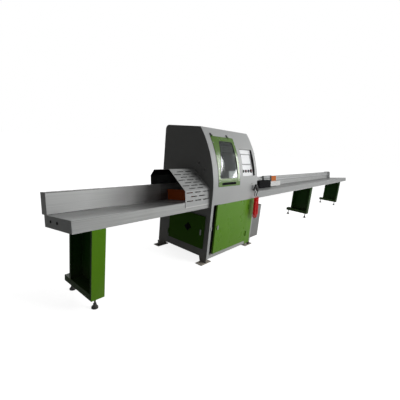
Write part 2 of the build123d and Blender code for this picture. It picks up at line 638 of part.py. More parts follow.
with BuildPart() as front_door:
    with BuildSketch(Plane.XZ.offset(HALF_DEPTH)):
        with Locations(((DOOR_LEFT + DOOR_RIGHT) / 2, DOOR_Z)):
            Rectangle(DOOR_RIGHT - DOOR_LEFT, DOOR_HEIGHT)
    extrude(amount=-DOOR_THICK)
    with BuildSketch(Plane.XZ.offset(HALF_DEPTH - DOOR_SHEET)):
        with Locations(((DOOR_LEFT + DOOR_RIGHT) / 2, DOOR_Z)):
            Rectangle(DOOR_RIGHT - DOOR_LEFT - 2 * DOOR_SHEET, DOOR_HEIGHT - 2 * DOOR_SHEET)
    extrude(amount=-DOOR_THICK, mode=Mode.SUBTRACT)
    for hinge_z in DOOR_HINGE_Z:
        with BuildSketch(Plane.XY.offset(hinge_z + DOOR_KNUCKLE + KNUCKLE_GAP)):
            with Locations((DOOR_AXIS_X - DOOR_LEAF / 2, -HALF_DEPTH - DOOR_LEAF_SHEET / 2)):
                Rectangle(DOOR_LEAF, DOOR_LEAF_SHEET)
            with Locations((DOOR_AXIS_X, DOOR_AXIS_Y)):
                Circle(DOOR_KNUCKLE_RADIUS)
                Circle(PIN_RADIUS + RUNNING_FIT, mode=Mode.SUBTRACT)
        extrude(amount=DOOR_KNUCKLE)
    with BuildSketch(Plane.XZ.offset(HALF_DEPTH)):
        with Locations((LATCH_X, LATCH_Z)):
            Circle(LATCH_SHAFT + RUNNING_FIT)
    extrude(amount=-DOOR_THICK, mode=Mode.SUBTRACT)
save(front_door, "front_door")

with BuildPart() as door_latch:
    with BuildSketch(Plane.XZ.offset(HALF_DEPTH)):
        with Locations((LATCH_X, LATCH_Z)):
            Circle(LATCH_BOSS)
    extrude(amount=LATCH_BOSS_HEIGHT)
    with BuildSketch(Plane.XZ.offset(HALF_DEPTH + LATCH_BOSS_HEIGHT)):
        with Locations((LATCH_X, LATCH_Z)):
            SlotOverall(LATCH_LEVER, LATCH_LEVER_WIDTH, rotation=90)
    extrude(amount=LATCH_LEVER_THICK)
    with BuildSketch(Plane.XZ.offset(HALF_DEPTH)):
        with Locations((LATCH_X, LATCH_Z)):
            Circle(LATCH_SHAFT)
    extrude(amount=-DOOR_THICK)
    with BuildSketch(Plane.XZ.offset(HALF_DEPTH - DOOR_THICK)):
        with Locations((LATCH_X, LATCH_Z)):
            SlotOverall(LATCH_CAM, LATCH_LEVER_WIDTH, rotation=90)
    extrude(amount=-LATCH_CAM_THICK)
save(door_latch, "door_latch")

# Electrical compartment door on the left side plate, with the rotary isolator
SIDE_DOOR_THICK = 18.0
SIDE_DOOR_SHEET = 2.0
SIDE_DOOR_GAP = 1.0
SIDE_HINGE_OUT = 6.0
SIDE_HINGE_BACK = 5.0
SIDE_KNUCKLE_RADIUS = 7.0
SIDE_KNUCKLE = 26.0
SIDE_HINGE_Z = (225.0, 500.0)
ISOLATOR_Y = -114.0
ISOLATOR_Z = 422.0
ISOLATOR_SIZE = 78.0
ISOLATOR_THICK = 12.0
ISOLATOR_SHAFT = 6.0
ISOLATOR_GRIP = 16.0
LOCK_Y = -318.0
LOCK_Z = 397.0
LOCK_RADIUS = 14.0
LOCK_HEIGHT = 6.0
LOCK_SLOT = 4.0
SIDE_DOOR_FACE = -HALF_WIDTH - SIDE_DOOR_GAP - SIDE_DOOR_THICK
SIDE_AXIS_X = SIDE_DOOR_FACE - SIDE_HINGE_OUT
SIDE_AXIS_Y = SIDE_DOOR_BACK + SIDE_HINGE_BACK

with BuildPart() as side_door:
    with BuildSketch(Plane.YZ.offset(SIDE_DOOR_FACE)):
        with Locations((SIDE_DOOR_Y, SIDE_DOOR_Z)):
            Rectangle(SIDE_DOOR_LENGTH, SIDE_DOOR_HEIGHT)
    extrude(amount=SIDE_DOOR_THICK)
    with BuildSketch(Plane.YZ.offset(SIDE_DOOR_FACE + SIDE_DOOR_SHEET)):
        with Locations((SIDE_DOOR_Y, SIDE_DOOR_Z)):
            Rectangle(SIDE_DOOR_LENGTH - 2 * SIDE_DOOR_SHEET, SIDE_DOOR_HEIGHT - 2 * SIDE_DOOR_SHEET)
    extrude(amount=SIDE_DOOR_THICK, mode=Mode.SUBTRACT)
    with BuildSketch(Plane.YZ.offset(SIDE_DOOR_FACE)):
        with Locations((LOCK_Y, LOCK_Z)):
            Circle(LOCK_RADIUS)
            Rectangle(LOCK_SLOT, LOCK_RADIUS, mode=Mode.SUBTRACT)
    extrude(amount=-LOCK_HEIGHT)
    for hinge_z in SIDE_HINGE_Z:
        with BuildSketch(Plane.XY.offset(hinge_z + SIDE_KNUCKLE + KNUCKLE_GAP)):
            with Locations((SIDE_DOOR_FACE - SIDE_HINGE_OUT / 2, SIDE_DOOR_BACK - SIDE_HINGE_BACK / 2)):
                Rectangle(SIDE_HINGE_OUT, 3 * SIDE_HINGE_BACK)
            with Locations((SIDE_AXIS_X, SIDE_AXIS_Y)):
                Circle(SIDE_KNUCKLE_RADIUS)
                Circle(PIN_RADIUS + RUNNING_FIT, mode=Mode.SUBTRACT)
        extrude(amount=SIDE_KNUCKLE)
    with BuildSketch(Plane.YZ.offset(SIDE_DOOR_FACE)):
        with Locations((ISOLATOR_Y, ISOLATOR_Z)):
            Circle(ISOLATOR_SHAFT + RUNNING_FIT)
    extrude(amount=SIDE_DOOR_SHEET, mode=Mode.SUBTRACT)
save(side_door, "side_door")

with BuildPart() as isolator_switch:
    with BuildSketch(Plane.YZ.offset(SIDE_DOOR_FACE)):
        with Locations((ISOLATOR_Y, ISOLATOR_Z)):
            Rectangle(ISOLATOR_SIZE, ISOLATOR_SIZE, rotation=45)
    extrude(amount=-ISOLATOR_THICK)
    with BuildSketch(Plane.YZ.offset(SIDE_DOOR_FACE - ISOLATOR_THICK)):
        with Locations((ISOLATOR_Y, ISOLATOR_Z)):
            SlotOverall(ISOLATOR_SIZE, ISOLATOR_GRIP, rotation=90)
    extrude(amount=-ISOLATOR_THICK)
    with BuildSketch(Plane.YZ.offset(SIDE_DOOR_FACE)):
        with Locations((ISOLATOR_Y, ISOLATOR_Z)):
            Circle(ISOLATOR_SHAFT)
    extrude(amount=SIDE_DOOR_THICK)
save(isolator_switch, "isolator_switch")

# Stock flap under the hood, turning on a rod between the hood and the fence
FLAP_X = -834.0
FLAP_SHEET = 8.0
FLAP_FRONT = 20.0
FLAP_END_GAP = 8.0
FLAP_FLOOR_GAP = 3.0
FLAP_ROD_B = 120.0
FLAP_ROD_RADIUS = 6.0
FLAP_SLEEVE = 10.0
HOOD_FRONT_GAP = 2.0
HOOD_SHEET = 3.0
FLAP_LENGTH = FENCE_FACE - FLAP_END_GAP - FLAP_FRONT

with BuildPart() as outfeed_flap:
    with BuildSketch(bed_front(FLAP_FRONT)):
        with Locations((FLAP_X, (FLAP_FLOOR_GAP + FLAP_ROD_B) / 2)):
            Rectangle(FLAP_SHEET, FLAP_ROD_B - FLAP_FLOOR_GAP)
        with Locations((FLAP_X, FLAP_ROD_B)):
            Circle(FLAP_SLEEVE)
            Circle(FLAP_ROD_RADIUS + RUNNING_FIT, mode=Mode.SUBTRACT)
    extrude(amount=-FLAP_LENGTH)
save(outfeed_flap, "outfeed_flap")

# Fixed hinge halves with their pins, and the flap's rod
with BuildPart() as hinge_pins:
    for hinge_x in HATCH_HINGE_X:
        with BuildSketch(front_plane(hinge_x - KNUCKLE_GAP - HATCH_KNUCKLE / 2, HATCH_AXIS_Z, -HATCH_GAP)):
            with Locations((0, HATCH_LEAF / 2)):
                Rectangle(HATCH_KNUCKLE, HATCH_LEAF)
        extrude(amount=HATCH_AXIS_LIFT - HATCH_GAP)
        with BuildSketch(Plane.YZ.offset(hinge_x - KNUCKLE_GAP)):
            with Locations((HATCH_AXIS.Y, HATCH_AXIS.Z)):
                Circle(HATCH_KNUCKLE_RADIUS)
        extrude(amount=-HATCH_KNUCKLE)
        with BuildSketch(Plane.YZ.offset(hinge_x - KNUCKLE_GAP)):
            with Locations((HATCH_AXIS.Y, HATCH_AXIS.Z)):
                Circle(PIN_RADIUS)
        extrude(amount=HATCH_KNUCKLE + KNUCKLE_GAP)
    for hinge_z in DOOR_HINGE_Z:
        for knuckle_z in (hinge_z, hinge_z + 2 * (DOOR_KNUCKLE + KNUCKLE_GAP)):
            with BuildSketch(Plane.XY.offset(knuckle_z)):
                with Locations((DOOR_AXIS_X + DOOR_LEAF / 2, -HALF_DEPTH - DOOR_LEAF_SHEET / 2)):
                    Rectangle(DOOR_LEAF, DOOR_LEAF_SHEET)
                with Locations((DOOR_AXIS_X, DOOR_AXIS_Y)):
                    Circle(DOOR_KNUCKLE_RADIUS)
            extrude(amount=DOOR_KNUCKLE)
        with BuildSketch(Plane.XY.offset(hinge_z)):
            with Locations((DOOR_AXIS_X, DOOR_AXIS_Y)):
                Circle(PIN_RADIUS)
        extrude(amount=3 * DOOR_KNUCKLE)
    for hinge_z in SIDE_HINGE_Z:
        for knuckle_z in (hinge_z, hinge_z + 2 * (SIDE_KNUCKLE + KNUCKLE_GAP)):
            with BuildSketch(Plane.XY.offset(knuckle_z)):
                with Locations(((SIDE_AXIS_X - HALF_WIDTH) / 2, SIDE_AXIS_Y + SIDE_KNUCKLE_RADIUS / 2)):
                    Rectangle(-HALF_WIDTH - SIDE_AXIS_X, SIDE_KNUCKLE_RADIUS)
                with Locations((SIDE_AXIS_X, SIDE_AXIS_Y)):
                    Circle(SIDE_KNUCKLE_RADIUS)
            extrude(amount=SIDE_KNUCKLE)
        with BuildSketch(Plane.XY.offset(hinge_z)):
            with Locations((SIDE_AXIS_X, SIDE_AXIS_Y)):
                Circle(PIN_RADIUS)
        extrude(amount=3 * SIDE_KNUCKLE)
    with BuildSketch(bed_front(-HOOD_FRONT_GAP)):
        with Locations((FLAP_X, FLAP_ROD_B)):
            Circle(FLAP_ROD_RADIUS)
    extrude(amount=-FENCE_FACE - HOOD_FRONT_GAP)
save(hinge_pins, "hinge_pins")

# Saw bed and fence between the side plates, slotted for the blade
BED_PLATE = 20.0
BED_FENCE = 20.0
KERF_SLOT = 8.0
KERF_FRONT = 60.0
KERF_FENCE_RISE = 95.0
BED_FLANGE = 10.0
BED_FLANGE_DROP = 80.0

with BuildPart() as saw_bed:
    with BuildSketch(bed_section(-INNER_X)):
        with Locations(((FENCE_FACE + BED_FENCE) / 2, -BED_PLATE / 2)):
            Rectangle(FENCE_FACE + BED_FENCE, BED_PLATE)
        with Locations((FENCE_FACE + BED_FENCE / 2, FENCE_HEIGHT / 2)):
            Rectangle(BED_FENCE, FENCE_HEIGHT)
    extrude(amount=2 * INNER_X)
    for flange_x in (-INNER_X, INNER_X - BED_FLANGE):
        with BuildSketch(bed_section(flange_x)):
            with Locations(((FENCE_FACE + BED_FENCE) / 2, -BED_FLANGE_DROP / 2)):
                Rectangle(FENCE_FACE + BED_FENCE, BED_FLANGE_DROP)
        extrude(amount=BED_FLANGE)
    with BuildSketch(bed_section(-KERF_SLOT / 2)):
        with Locations(((KERF_FRONT + FENCE_FACE + BED_FENCE) / 2, (KERF_FENCE_RISE - BED_PLATE) / 2)):
            Rectangle(FENCE_FACE + BED_FENCE - KERF_FRONT, KERF_FENCE_RISE + BED_PLATE)
    extrude(amount=KERF_SLOT, mode=Mode.SUBTRACT)
save(saw_bed, "saw_bed")

# Dust chute under the blade, ending in the round port through the back
CHUTE_LENGTH = CHUTE_BACK_Y - CHUTE_FRONT_Y
CHUTE_Y = CHUTE_FRONT_Y + CHUTE_LENGTH / 2
CHUTE_HEIGHT = 2 * DUST_RADIUS
MOUTH_LENGTH = CHUTE_MOUTH_BACK_Y - CHUTE_FRONT_Y - 2 * CHUTE_SHEET

with BuildPart() as dust_chute:
    with BuildSketch(Plane.XY.offset(CHUTE_BOTTOM)):
        with Locations((DUST_X, CHUTE_Y)):
            Rectangle(CHUTE_WIDTH, CHUTE_LENGTH)
    extrude(amount=CHUTE_HEIGHT)
    with BuildSketch(Plane.XY.offset(CHUTE_BOTTOM + CHUTE_SHEET)):
        with Locations((DUST_X, CHUTE_Y)):
            Rectangle(CHUTE_WIDTH - 2 * CHUTE_SHEET, CHUTE_LENGTH - 2 * CHUTE_SHEET)
    extrude(amount=CHUTE_HEIGHT - 2 * CHUTE_SHEET, mode=Mode.SUBTRACT)
    with BuildSketch(Plane.XY.offset(CHUTE_BOTTOM + CHUTE_HEIGHT - CHUTE_SHEET)):
        with Locations((DUST_X, CHUTE_FRONT_Y + CHUTE_SHEET + MOUTH_LENGTH / 2)):
            Rectangle(CHUTE_WIDTH - 2 * CHUTE_SHEET, MOUTH_LENGTH)
    extrude(amount=CHUTE_SHEET, mode=Mode.SUBTRACT)
    with BuildSketch(Plane.XZ.offset(-CHUTE_BACK_Y)):
        with Locations((DUST_X, DUST_HEIGHT)):
            Circle(DUST_RADIUS - DUST_NECK)
    extrude(amount=-SKIN - DUST_NECK)
    with BuildSketch(Plane.XZ.offset(-HALF_DEPTH - DUST_NECK)):
        with Locations((DUST_X, DUST_HEIGHT)):
            Circle(DUST_RADIUS)
    extrude(amount=DUST_NECK - DUST_REACH)
    with BuildSketch(Plane.XZ.offset(-CHUTE_BACK_Y + CHUTE_SHEET)):
        with Locations((DUST_X, DUST_HEIGHT)):
            Circle(DUST_RADIUS - CHUTE_SHEET)
    extrude(amount=-CHUTE_SHEET - SKIN - DUST_REACH, mode=Mode.SUBTRACT)
save(dust_chute, "dust_chute")

# Rising saw arm on its pivot shaft, carrying the arbor, the motor and the belt
BLADE_RADIUS = 225.0
BLADE_KERF = 4.4
BLADE_TEETH = 48
BLADE_GULLET = 9.0
ARBOR_Y = -175.0
ARBOR_Z = 576.0
ARBOR_RADIUS = 20.0
ARBOR_LEFT = -52.0
HOUSING_LEFT = 30.0
HOUSING_LENGTH = 130.0
HOUSING_RADIUS = 58.0
BEARING_RADIUS = 40.0
BEARING_WIDTH = 18.0
ARM_DEPTH = 90.0
PULLEY_LEFT = 170.0
PULLEY_WIDTH = 50.0
PULLEY_RIM = 6.0
PULLEY_RIM_RADIUS = 58.0
BELT_RADIUS = 50.0
BELT_THICK = 6.0
BELT_GAP = 0.3
MOTOR_BACK = 60.0
MOTOR_RISE = 170.0
MOTOR_LEFT = 240.0
MOTOR_SIDE_GAP = 14.0
MOTOR_RADIUS = 110.0
MOTOR_CENTRE_HEIGHT = 125.0
MOTOR_FEET = 180.0
MOTOR_COWL = 35.0
MOTOR_COWL_RADIUS = 104.0
MOTOR_SHAFT = 14.0
MOTOR_SHAFT_DEPTH = 35.0
MOTOR_SHAFT_END = 1.0
MOTOR_FINS = 18
FIN_HEIGHT = 6.0
FIN_WIDTH = 5.0
TERMINAL_BOX = 90.0
MOTOR_PLATE = 10.0
MOTOR_PLATE_DEPTH = 220.0
LIFT_PIN_RISE = -25.0
LIFT_PIN_RADIUS = 10.0
LIFT_LUG = 20.0
MOTOR_LENGTH = INNER_X - MOTOR_SIDE_GAP - MOTOR_COWL - MOTOR_LEFT
MOTOR_Y = PIVOT_Y + MOTOR_BACK
MOTOR_Z = PIVOT_Z + MOTOR_RISE
LIFT_PIN_Z = PIVOT_Z + LIFT_PIN_RISE
ARM_SPAN = math.hypot(PIVOT_Y - ARBOR_Y, ARBOR_Z - PIVOT_Z)
ARM_SLOPE = math.degrees(math.atan2(ARBOR_Z - PIVOT_Z, ARBOR_Y - PIVOT_Y))
MOTOR_PLATE_Z = MOTOR_Z - MOTOR_CENTRE_HEIGHT - MOTOR_PLATE
LUG_TOP_Z = (PIVOT_Z + ARBOR_Z) / 2
SHAFT_LEFT = LEFT_BLOCK_X - BLOCK_WIDTH / 2
SHAFT_RIGHT = RIGHT_BLOCK_X + BLOCK_WIDTH / 2

with BuildPart() as saw_arm:
    with BuildSketch(Plane.YZ.offset(ARM_LEFT)):
        with Locations(((PIVOT_Y + ARBOR_Y) / 2, (PIVOT_Z + ARBOR_Z) / 2)):
            SlotCenterToCenter(ARM_SPAN, ARM_DEPTH, rotation=ARM_SLOPE)
        with Locations((PIVOT_Y + MOTOR_BACK / 2, (PIVOT_Z + MOTOR_PLATE_Z) / 2)):
            Rectangle(ARM_DEPTH, MOTOR_PLATE_Z - PIVOT_Z)
    extrude(amount=ARM_WIDTH)
    with BuildSketch(Plane.XY.offset(MOTOR_PLATE_Z)):
        with Locations(((ARM_LEFT + MOTOR_LEFT + MOTOR_LENGTH) / 2, MOTOR_Y)):
            Rectangle(MOTOR_LEFT + MOTOR_LENGTH - ARM_LEFT, MOTOR_PLATE_DEPTH)
    extrude(amount=MOTOR_PLATE)
    with BuildSketch(Plane.YZ.offset(HOUSING_LEFT)):
        with Locations((ARBOR_Y, ARBOR_Z)):
            Circle(HOUSING_RADIUS)
    extrude(amount=HOUSING_LENGTH)
    with BuildSketch(Plane.YZ.offset(HOUSING_LEFT)):
        with Locations((ARBOR_Y, ARBOR_Z)):
            Circle(BEARING_RADIUS)
    extrude(amount=HOUSING_LENGTH, mode=Mode.SUBTRACT)
    with BuildSketch(Plane.YZ.offset(SHAFT_LEFT)):
        with Locations((PIVOT_Y, PIVOT_Z)):
            Circle(PIVOT_SHAFT_RADIUS)
    extrude(amount=SHAFT_RIGHT - SHAFT_LEFT)
    with BuildSketch(Plane.YZ.offset(ARM_X - LIFT_LUG / 2)):
        with Locations((LIFT_PIN_Y, (LIFT_PIN_Z + LUG_TOP_Z) / 2)):
            Rectangle(3 * LIFT_PIN_RADIUS, LUG_TOP_Z - LIFT_PIN_Z)
        with Locations((LIFT_PIN_Y, LIFT_PIN_Z)):
            Circle(1.5 * LIFT_PIN_RADIUS)
    extrude(amount=LIFT_LUG)
    with BuildSketch(Plane.YZ.offset(ARM_LEFT)):
        with Locations((LIFT_PIN_Y, LIFT_PIN_Z)):
            Circle(LIFT_PIN_RADIUS)
    extrude(amount=ARM_WIDTH)
save(saw_arm, "saw_arm")

with BuildPart() as pivot_blocks:
    for block_x in (LEFT_BLOCK_X, RIGHT_BLOCK_X):
        with BuildSketch(Plane.YZ.offset(block_x - BLOCK_WIDTH / 2)):
            with Locations((PIVOT_Y, PIVOT_Z)):
                Circle(BLOCK_RADIUS)
            with Locations((PIVOT_Y, PIVOT_Z - BLOCK_FOOT / 2)):
                Rectangle(2 * BLOCK_RADIUS, BLOCK_FOOT)
            with Locations((PIVOT_Y, PIVOT_Z)):
                Circle(PIVOT_SHAFT_RADIUS + RUNNING_FIT, mode=Mode.SUBTRACT)
        extrude(amount=BLOCK_WIDTH)
save(pivot_blocks, "pivot_blocks")

BEARING_LEFTS = (HOUSING_LEFT, HOUSING_LEFT + HOUSING_LENGTH - BEARING_WIDTH)

with BuildPart() as arbor_bearings:
    for bearing_x in BEARING_LEFTS:
        with BuildSketch(Plane.YZ.offset(bearing_x)):
            with Locations((ARBOR_Y, ARBOR_Z)):
                Circle(BEARING_RADIUS - RUNNING_FIT)
                Circle(ARBOR_RADIUS + RUNNING_FIT, mode=Mode.SUBTRACT)
        extrude(amount=BEARING_WIDTH)
save(arbor_bearings, "arbor_bearings")

with BuildPart() as arbor:
    with BuildSketch(Plane.YZ.offset(ARBOR_LEFT)):
        with Locations((ARBOR_Y, ARBOR_Z)):
            Circle(ARBOR_RADIUS)
    extrude(amount=PULLEY_LEFT + PULLEY_WIDTH - ARBOR_LEFT)
save(arbor, "arbor")

TOOTH_STEP = 2 * math.pi / BLADE_TEETH
BLADE_POINTS = []
for tooth in range(BLADE_TEETH):
    tip = tooth * TOOTH_STEP
    root = tip + 0.25 * TOOTH_STEP
    for radius, angle in ((BLADE_RADIUS, tip), (BLADE_RADIUS - BLADE_GULLET, root)):
        BLADE_POINTS.append((radius * math.cos(angle), radius * math.sin(angle)))

with BuildPart() as saw_blade:
    with BuildSketch(Plane(origin=(-BLADE_KERF / 2, ARBOR_Y, ARBOR_Z), x_dir=(0, 1, 0), z_dir=(1, 0, 0))):
        with BuildLine():
            Polyline(*BLADE_POINTS, close=True)
        make_face()
        Circle(ARBOR_RADIUS + RUNNING_FIT, mode=Mode.SUBTRACT)
    extrude(amount=BLADE_KERF)
save(saw_blade, "saw_blade")

# Two flanges and the nut that hold the blade
FLANGE_RADIUS = 60.0
FLANGE_THICK = 12.0
NUT_ACROSS = 60.0
NUT_THICK = 26.0
FLANGE_LEFTS = (-BLADE_KERF / 2 - FLANGE_THICK, BLADE_KERF / 2)

with BuildPart() as blade_clamp:
    for flange_x in FLANGE_LEFTS:
        with BuildSketch(Plane.YZ.offset(flange_x)):
            with Locations((ARBOR_Y, ARBOR_Z)):
                Circle(FLANGE_RADIUS)
                Circle(ARBOR_RADIUS + RUNNING_FIT, mode=Mode.SUBTRACT)
        extrude(amount=FLANGE_THICK)
    with BuildSketch(Plane.YZ.offset(FLANGE_LEFTS[0] - BODY_GAP - NUT_THICK)):
        with Locations((ARBOR_Y, ARBOR_Z)):
            RegularPolygon(NUT_ACROSS / 2, 6, major_radius=False)
            Circle(ARBOR_RADIUS + RUNNING_FIT, mode=Mode.SUBTRACT)
    extrude(amount=NUT_THICK)
save(blade_clamp, "blade_clamp")


def belt_pulley(y, z, bore):
    """Flanged belt pulley on an axis along X, bored for its shaft."""
    with BuildPart() as pulley:
        with BuildSketch(Plane.YZ.offset(PULLEY_LEFT)):
            with Locations((y, z)):
                Circle(BELT_RADIUS)
        extrude(amount=PULLEY_WIDTH)
        for rim_x in (PULLEY_LEFT, PULLEY_LEFT + PULLEY_WIDTH - PULLEY_RIM):
            with BuildSketch(Plane.YZ.offset(rim_x)):
                with Locations((y, z)):
                    Circle(PULLEY_RIM_RADIUS)
            extrude(amount=PULLEY_RIM)
        with BuildSketch(Plane.YZ.offset(PULLEY_LEFT)):
            with Locations((y, z)):
                Circle(bore)
        extrude(amount=PULLEY_WIDTH, mode=Mode.SUBTRACT)
    return pulley


arbor_pulley = belt_pulley(ARBOR_Y, ARBOR_Z, ARBOR_RADIUS + RUNNING_FIT)
save(arbor_pulley, "arbor_pulley")

with BuildPart() as motor_pulley:
    add(belt_pulley(MOTOR_Y, MOTOR_Z, MOTOR_SHAFT).part)
    with BuildSketch(Plane.YZ.offset(PULLEY_LEFT)):
        with Locations((MOTOR_Y, MOTOR_Z)):
            Circle(MOTOR_SHAFT)
    extrude(amount=MOTOR_LEFT + MOTOR_SHAFT_DEPTH - PULLEY_LEFT)
save(motor_pulley, "motor_pulley")

BELT_SPAN = math.hypot(MOTOR_Y - ARBOR_Y, MOTOR_Z - ARBOR_Z)
BELT_SLOPE = math.degrees(math.atan2(MOTOR_Z - ARBOR_Z, MOTOR_Y - ARBOR_Y))
BELT_INNER = BELT_RADIUS + BELT_GAP
BELT_WIDTH = PULLEY_WIDTH - 2 * PULLEY_RIM - 2 * BELT_GAP

with BuildPart() as drive_belt:
    with BuildSketch(Plane.YZ.offset(PULLEY_LEFT + PULLEY_RIM + BELT_GAP)):
        with Locations(((MOTOR_Y + ARBOR_Y) / 2, (MOTOR_Z + ARBOR_Z) / 2)):
            SlotCenterToCenter(BELT_SPAN, 2 * (BELT_INNER + BELT_THICK), rotation=BELT_SLOPE)
            SlotCenterToCenter(BELT_SPAN, 2 * BELT_INNER, rotation=BELT_SLOPE, mode=Mode.SUBTRACT)
    extrude(amount=BELT_WIDTH)
save(drive_belt, "drive_belt")

with BuildPart() as saw_motor:
    with BuildSketch(Plane.YZ.offset(MOTOR_LEFT)):
        with Locations((MOTOR_Y, MOTOR_Z)):
            Circle(MOTOR_RADIUS - FIN_HEIGHT)
            with PolarLocations(MOTOR_RADIUS - FIN_HEIGHT, MOTOR_FINS):
                Rectangle(2 * FIN_HEIGHT, FIN_WIDTH)
        with Locations((MOTOR_Y, MOTOR_Z - MOTOR_CENTRE_HEIGHT / 2)):
            Rectangle(MOTOR_FEET, MOTOR_CENTRE_HEIGHT)
    extrude(amount=MOTOR_LENGTH)
    with BuildSketch(Plane.YZ.offset(MOTOR_LEFT + MOTOR_LENGTH)):
        with Locations((MOTOR_Y, MOTOR_Z)):
            Circle(MOTOR_COWL_RADIUS)
    extrude(amount=MOTOR_COWL)
    with BuildSketch(Plane.XY.offset(MOTOR_Z)):
        with Locations((MOTOR_LEFT + MOTOR_LENGTH / 2, MOTOR_Y)):
            Rectangle(TERMINAL_BOX, TERMINAL_BOX)
    extrude(amount=MOTOR_RADIUS + TERMINAL_BOX / 3)
    with BuildSketch(Plane.YZ.offset(MOTOR_LEFT)):
        with Locations((MOTOR_Y, MOTOR_Z)):
            Circle(MOTOR_SHAFT + RUNNING_FIT)
    extrude(amount=MOTOR_SHAFT_DEPTH + MOTOR_SHAFT_END, mode=Mode.SUBTRACT)
save(saw_motor, "saw_motor")

# Lift cylinder under the arm; its rod ends in a fork with a cross slot for the arm's pin
LIFT_RADIUS = 40.0
LIFT_BORE = 32.0
LIFT_CAP = 15.0
LIFT_HEIGHT = 205.0
LIFT_ROD_RADIUS = 12.5
LIFT_PISTON = 20.0
LIFT_PISTON_LIFT = 5.0
FORK_DEPTH = 64.0
FORK_HEIGHT = 40.0
FORK_CHEEK = 12.0
FORK_CLEARANCE = 4.0
FORK_BASE = 14.0
FORK_SLOT = 40.0
FORK_SLOT_CLEARANCE = 1.5
FORK_INNER = LIFT_LUG + 2 * FORK_CLEARANCE
FORK_BOTTOM = LIFT_PIN_Z - FORK_HEIGHT / 2 - FORK_BASE
PISTON_BOTTOM = RAIL_TOP + LIFT_CAP + LIFT_PISTON_LIFT

with BuildPart() as lift_cylinder:
    with BuildSketch(Plane.XY.offset(RAIL_TOP)):
        with Locations((ARM_X, LIFT_ROD_Y)):
            Circle(LIFT_RADIUS)
    extrude(amount=LIFT_HEIGHT)
    with BuildSketch(Plane.XY.offset(RAIL_TOP + LIFT_CAP)):
        with Locations((ARM_X, LIFT_ROD_Y)):
            Circle(LIFT_BORE)
    extrude(amount=LIFT_HEIGHT - 2 * LIFT_CAP, mode=Mode.SUBTRACT)
    with BuildSketch(Plane.XY.offset(RAIL_TOP + LIFT_CAP)):
        with Locations((ARM_X, LIFT_ROD_Y)):
            Circle(LIFT_ROD_RADIUS + RUNNING_FIT)
    extrude(amount=LIFT_HEIGHT, mode=Mode.SUBTRACT)
save(lift_cylinder, "lift_cylinder")

with BuildPart() as lift_rod:
    with BuildSketch(Plane.XY.offset(PISTON_BOTTOM)):
        with Locations((ARM_X, LIFT_ROD_Y)):
            Circle(LIFT_BORE - RUNNING_FIT)
    extrude(amount=LIFT_PISTON)
    with BuildSketch(Plane.XY.offset(PISTON_BOTTOM)):
        with Locations((ARM_X, LIFT_ROD_Y)):
            Circle(LIFT_ROD_RADIUS)
    extrude(amount=FORK_BOTTOM - PISTON_BOTTOM)
    with BuildSketch(Plane.XY.offset(FORK_BOTTOM)):
        with Locations((ARM_X, LIFT_ROD_Y)):
            Rectangle(FORK_INNER + 2 * FORK_CHEEK, FORK_DEPTH)
    extrude(amount=FORK_BASE + FORK_HEIGHT)
    with BuildSketch(Plane.XY.offset(FORK_BOTTOM + FORK_BASE)):
        with Locations((ARM_X, LIFT_ROD_Y)):
            Rectangle(FORK_INNER, FORK_DEPTH)
    extrude(amount=FORK_HEIGHT, mode=Mode.SUBTRACT)
    with BuildSketch(Plane.YZ.offset(ARM_LEFT)):
        with Locations((LIFT_ROD_Y, LIFT_PIN_Z)):
            SlotOverall(FORK_SLOT, 2 * (LIFT_PIN_RADIUS + FORK_SLOT_CLEARANCE))
    extrude(amount=ARM_WIDTH, mode=Mode.SUBTRACT)
save(lift_rod, "lift_rod")

# Stock clamp: cylinder under the clamp beam, rod and a pad with a foot each side of the blade
CLAMP_RADIUS = 32.0
CLAMP_BORE = 25.0
CLAMP_LENGTH = 240.0
CLAMP_CAP = 8.0
CLAMP_ROD_RADIUS = 10.0
CLAMP_PISTON = 15.0
CLAMP_PISTON_GAP = 2.0
CLAMP_FLANGE = 90.0
CLAMP_FLANGE_THICK = 12.0
PAD_B = 215.0
PAD_FOOT = 115.0
PAD_BRIDGE = 15.0
PAD_LENGTH = 260.0
PAD_DEPTH = 150.0
PAD_SLOT = 24.0
CLAMP_BOTTOM_B = CLAMP_BEAM_B - CLAMP_LENGTH

with BuildPart() as clamp_cylinder:
    with BuildSketch(bed_plane(CLAMP_BOTTOM_B)):
        with Locations((0, CLAMP_A)):
            Circle(CLAMP_RADIUS)
    extrude(amount=CLAMP_LENGTH)
    with BuildSketch(bed_plane(CLAMP_BEAM_B - CLAMP_FLANGE_THICK)):
        with Locations((0, CLAMP_A)):
            Rectangle(CLAMP_FLANGE, CLAMP_BEAM)
    extrude(amount=CLAMP_FLANGE_THICK)
    with BuildSketch(bed_plane(CLAMP_BOTTOM_B + CLAMP_CAP)):
        with Locations((0, CLAMP_A)):
            Circle(CLAMP_BORE)
    extrude(amount=CLAMP_LENGTH - 2 * CLAMP_CAP, mode=Mode.SUBTRACT)
    with BuildSketch(bed_plane(CLAMP_BOTTOM_B)):
        with Locations((0, CLAMP_A)):
            Circle(CLAMP_ROD_RADIUS + RUNNING_FIT)
    extrude(amount=CLAMP_CAP, mode=Mode.SUBTRACT)
save(clamp_cylinder, "clamp_cylinder")

PISTON_B = CLAMP_BEAM_B - CLAMP_CAP - CLAMP_PISTON - CLAMP_PISTON_GAP

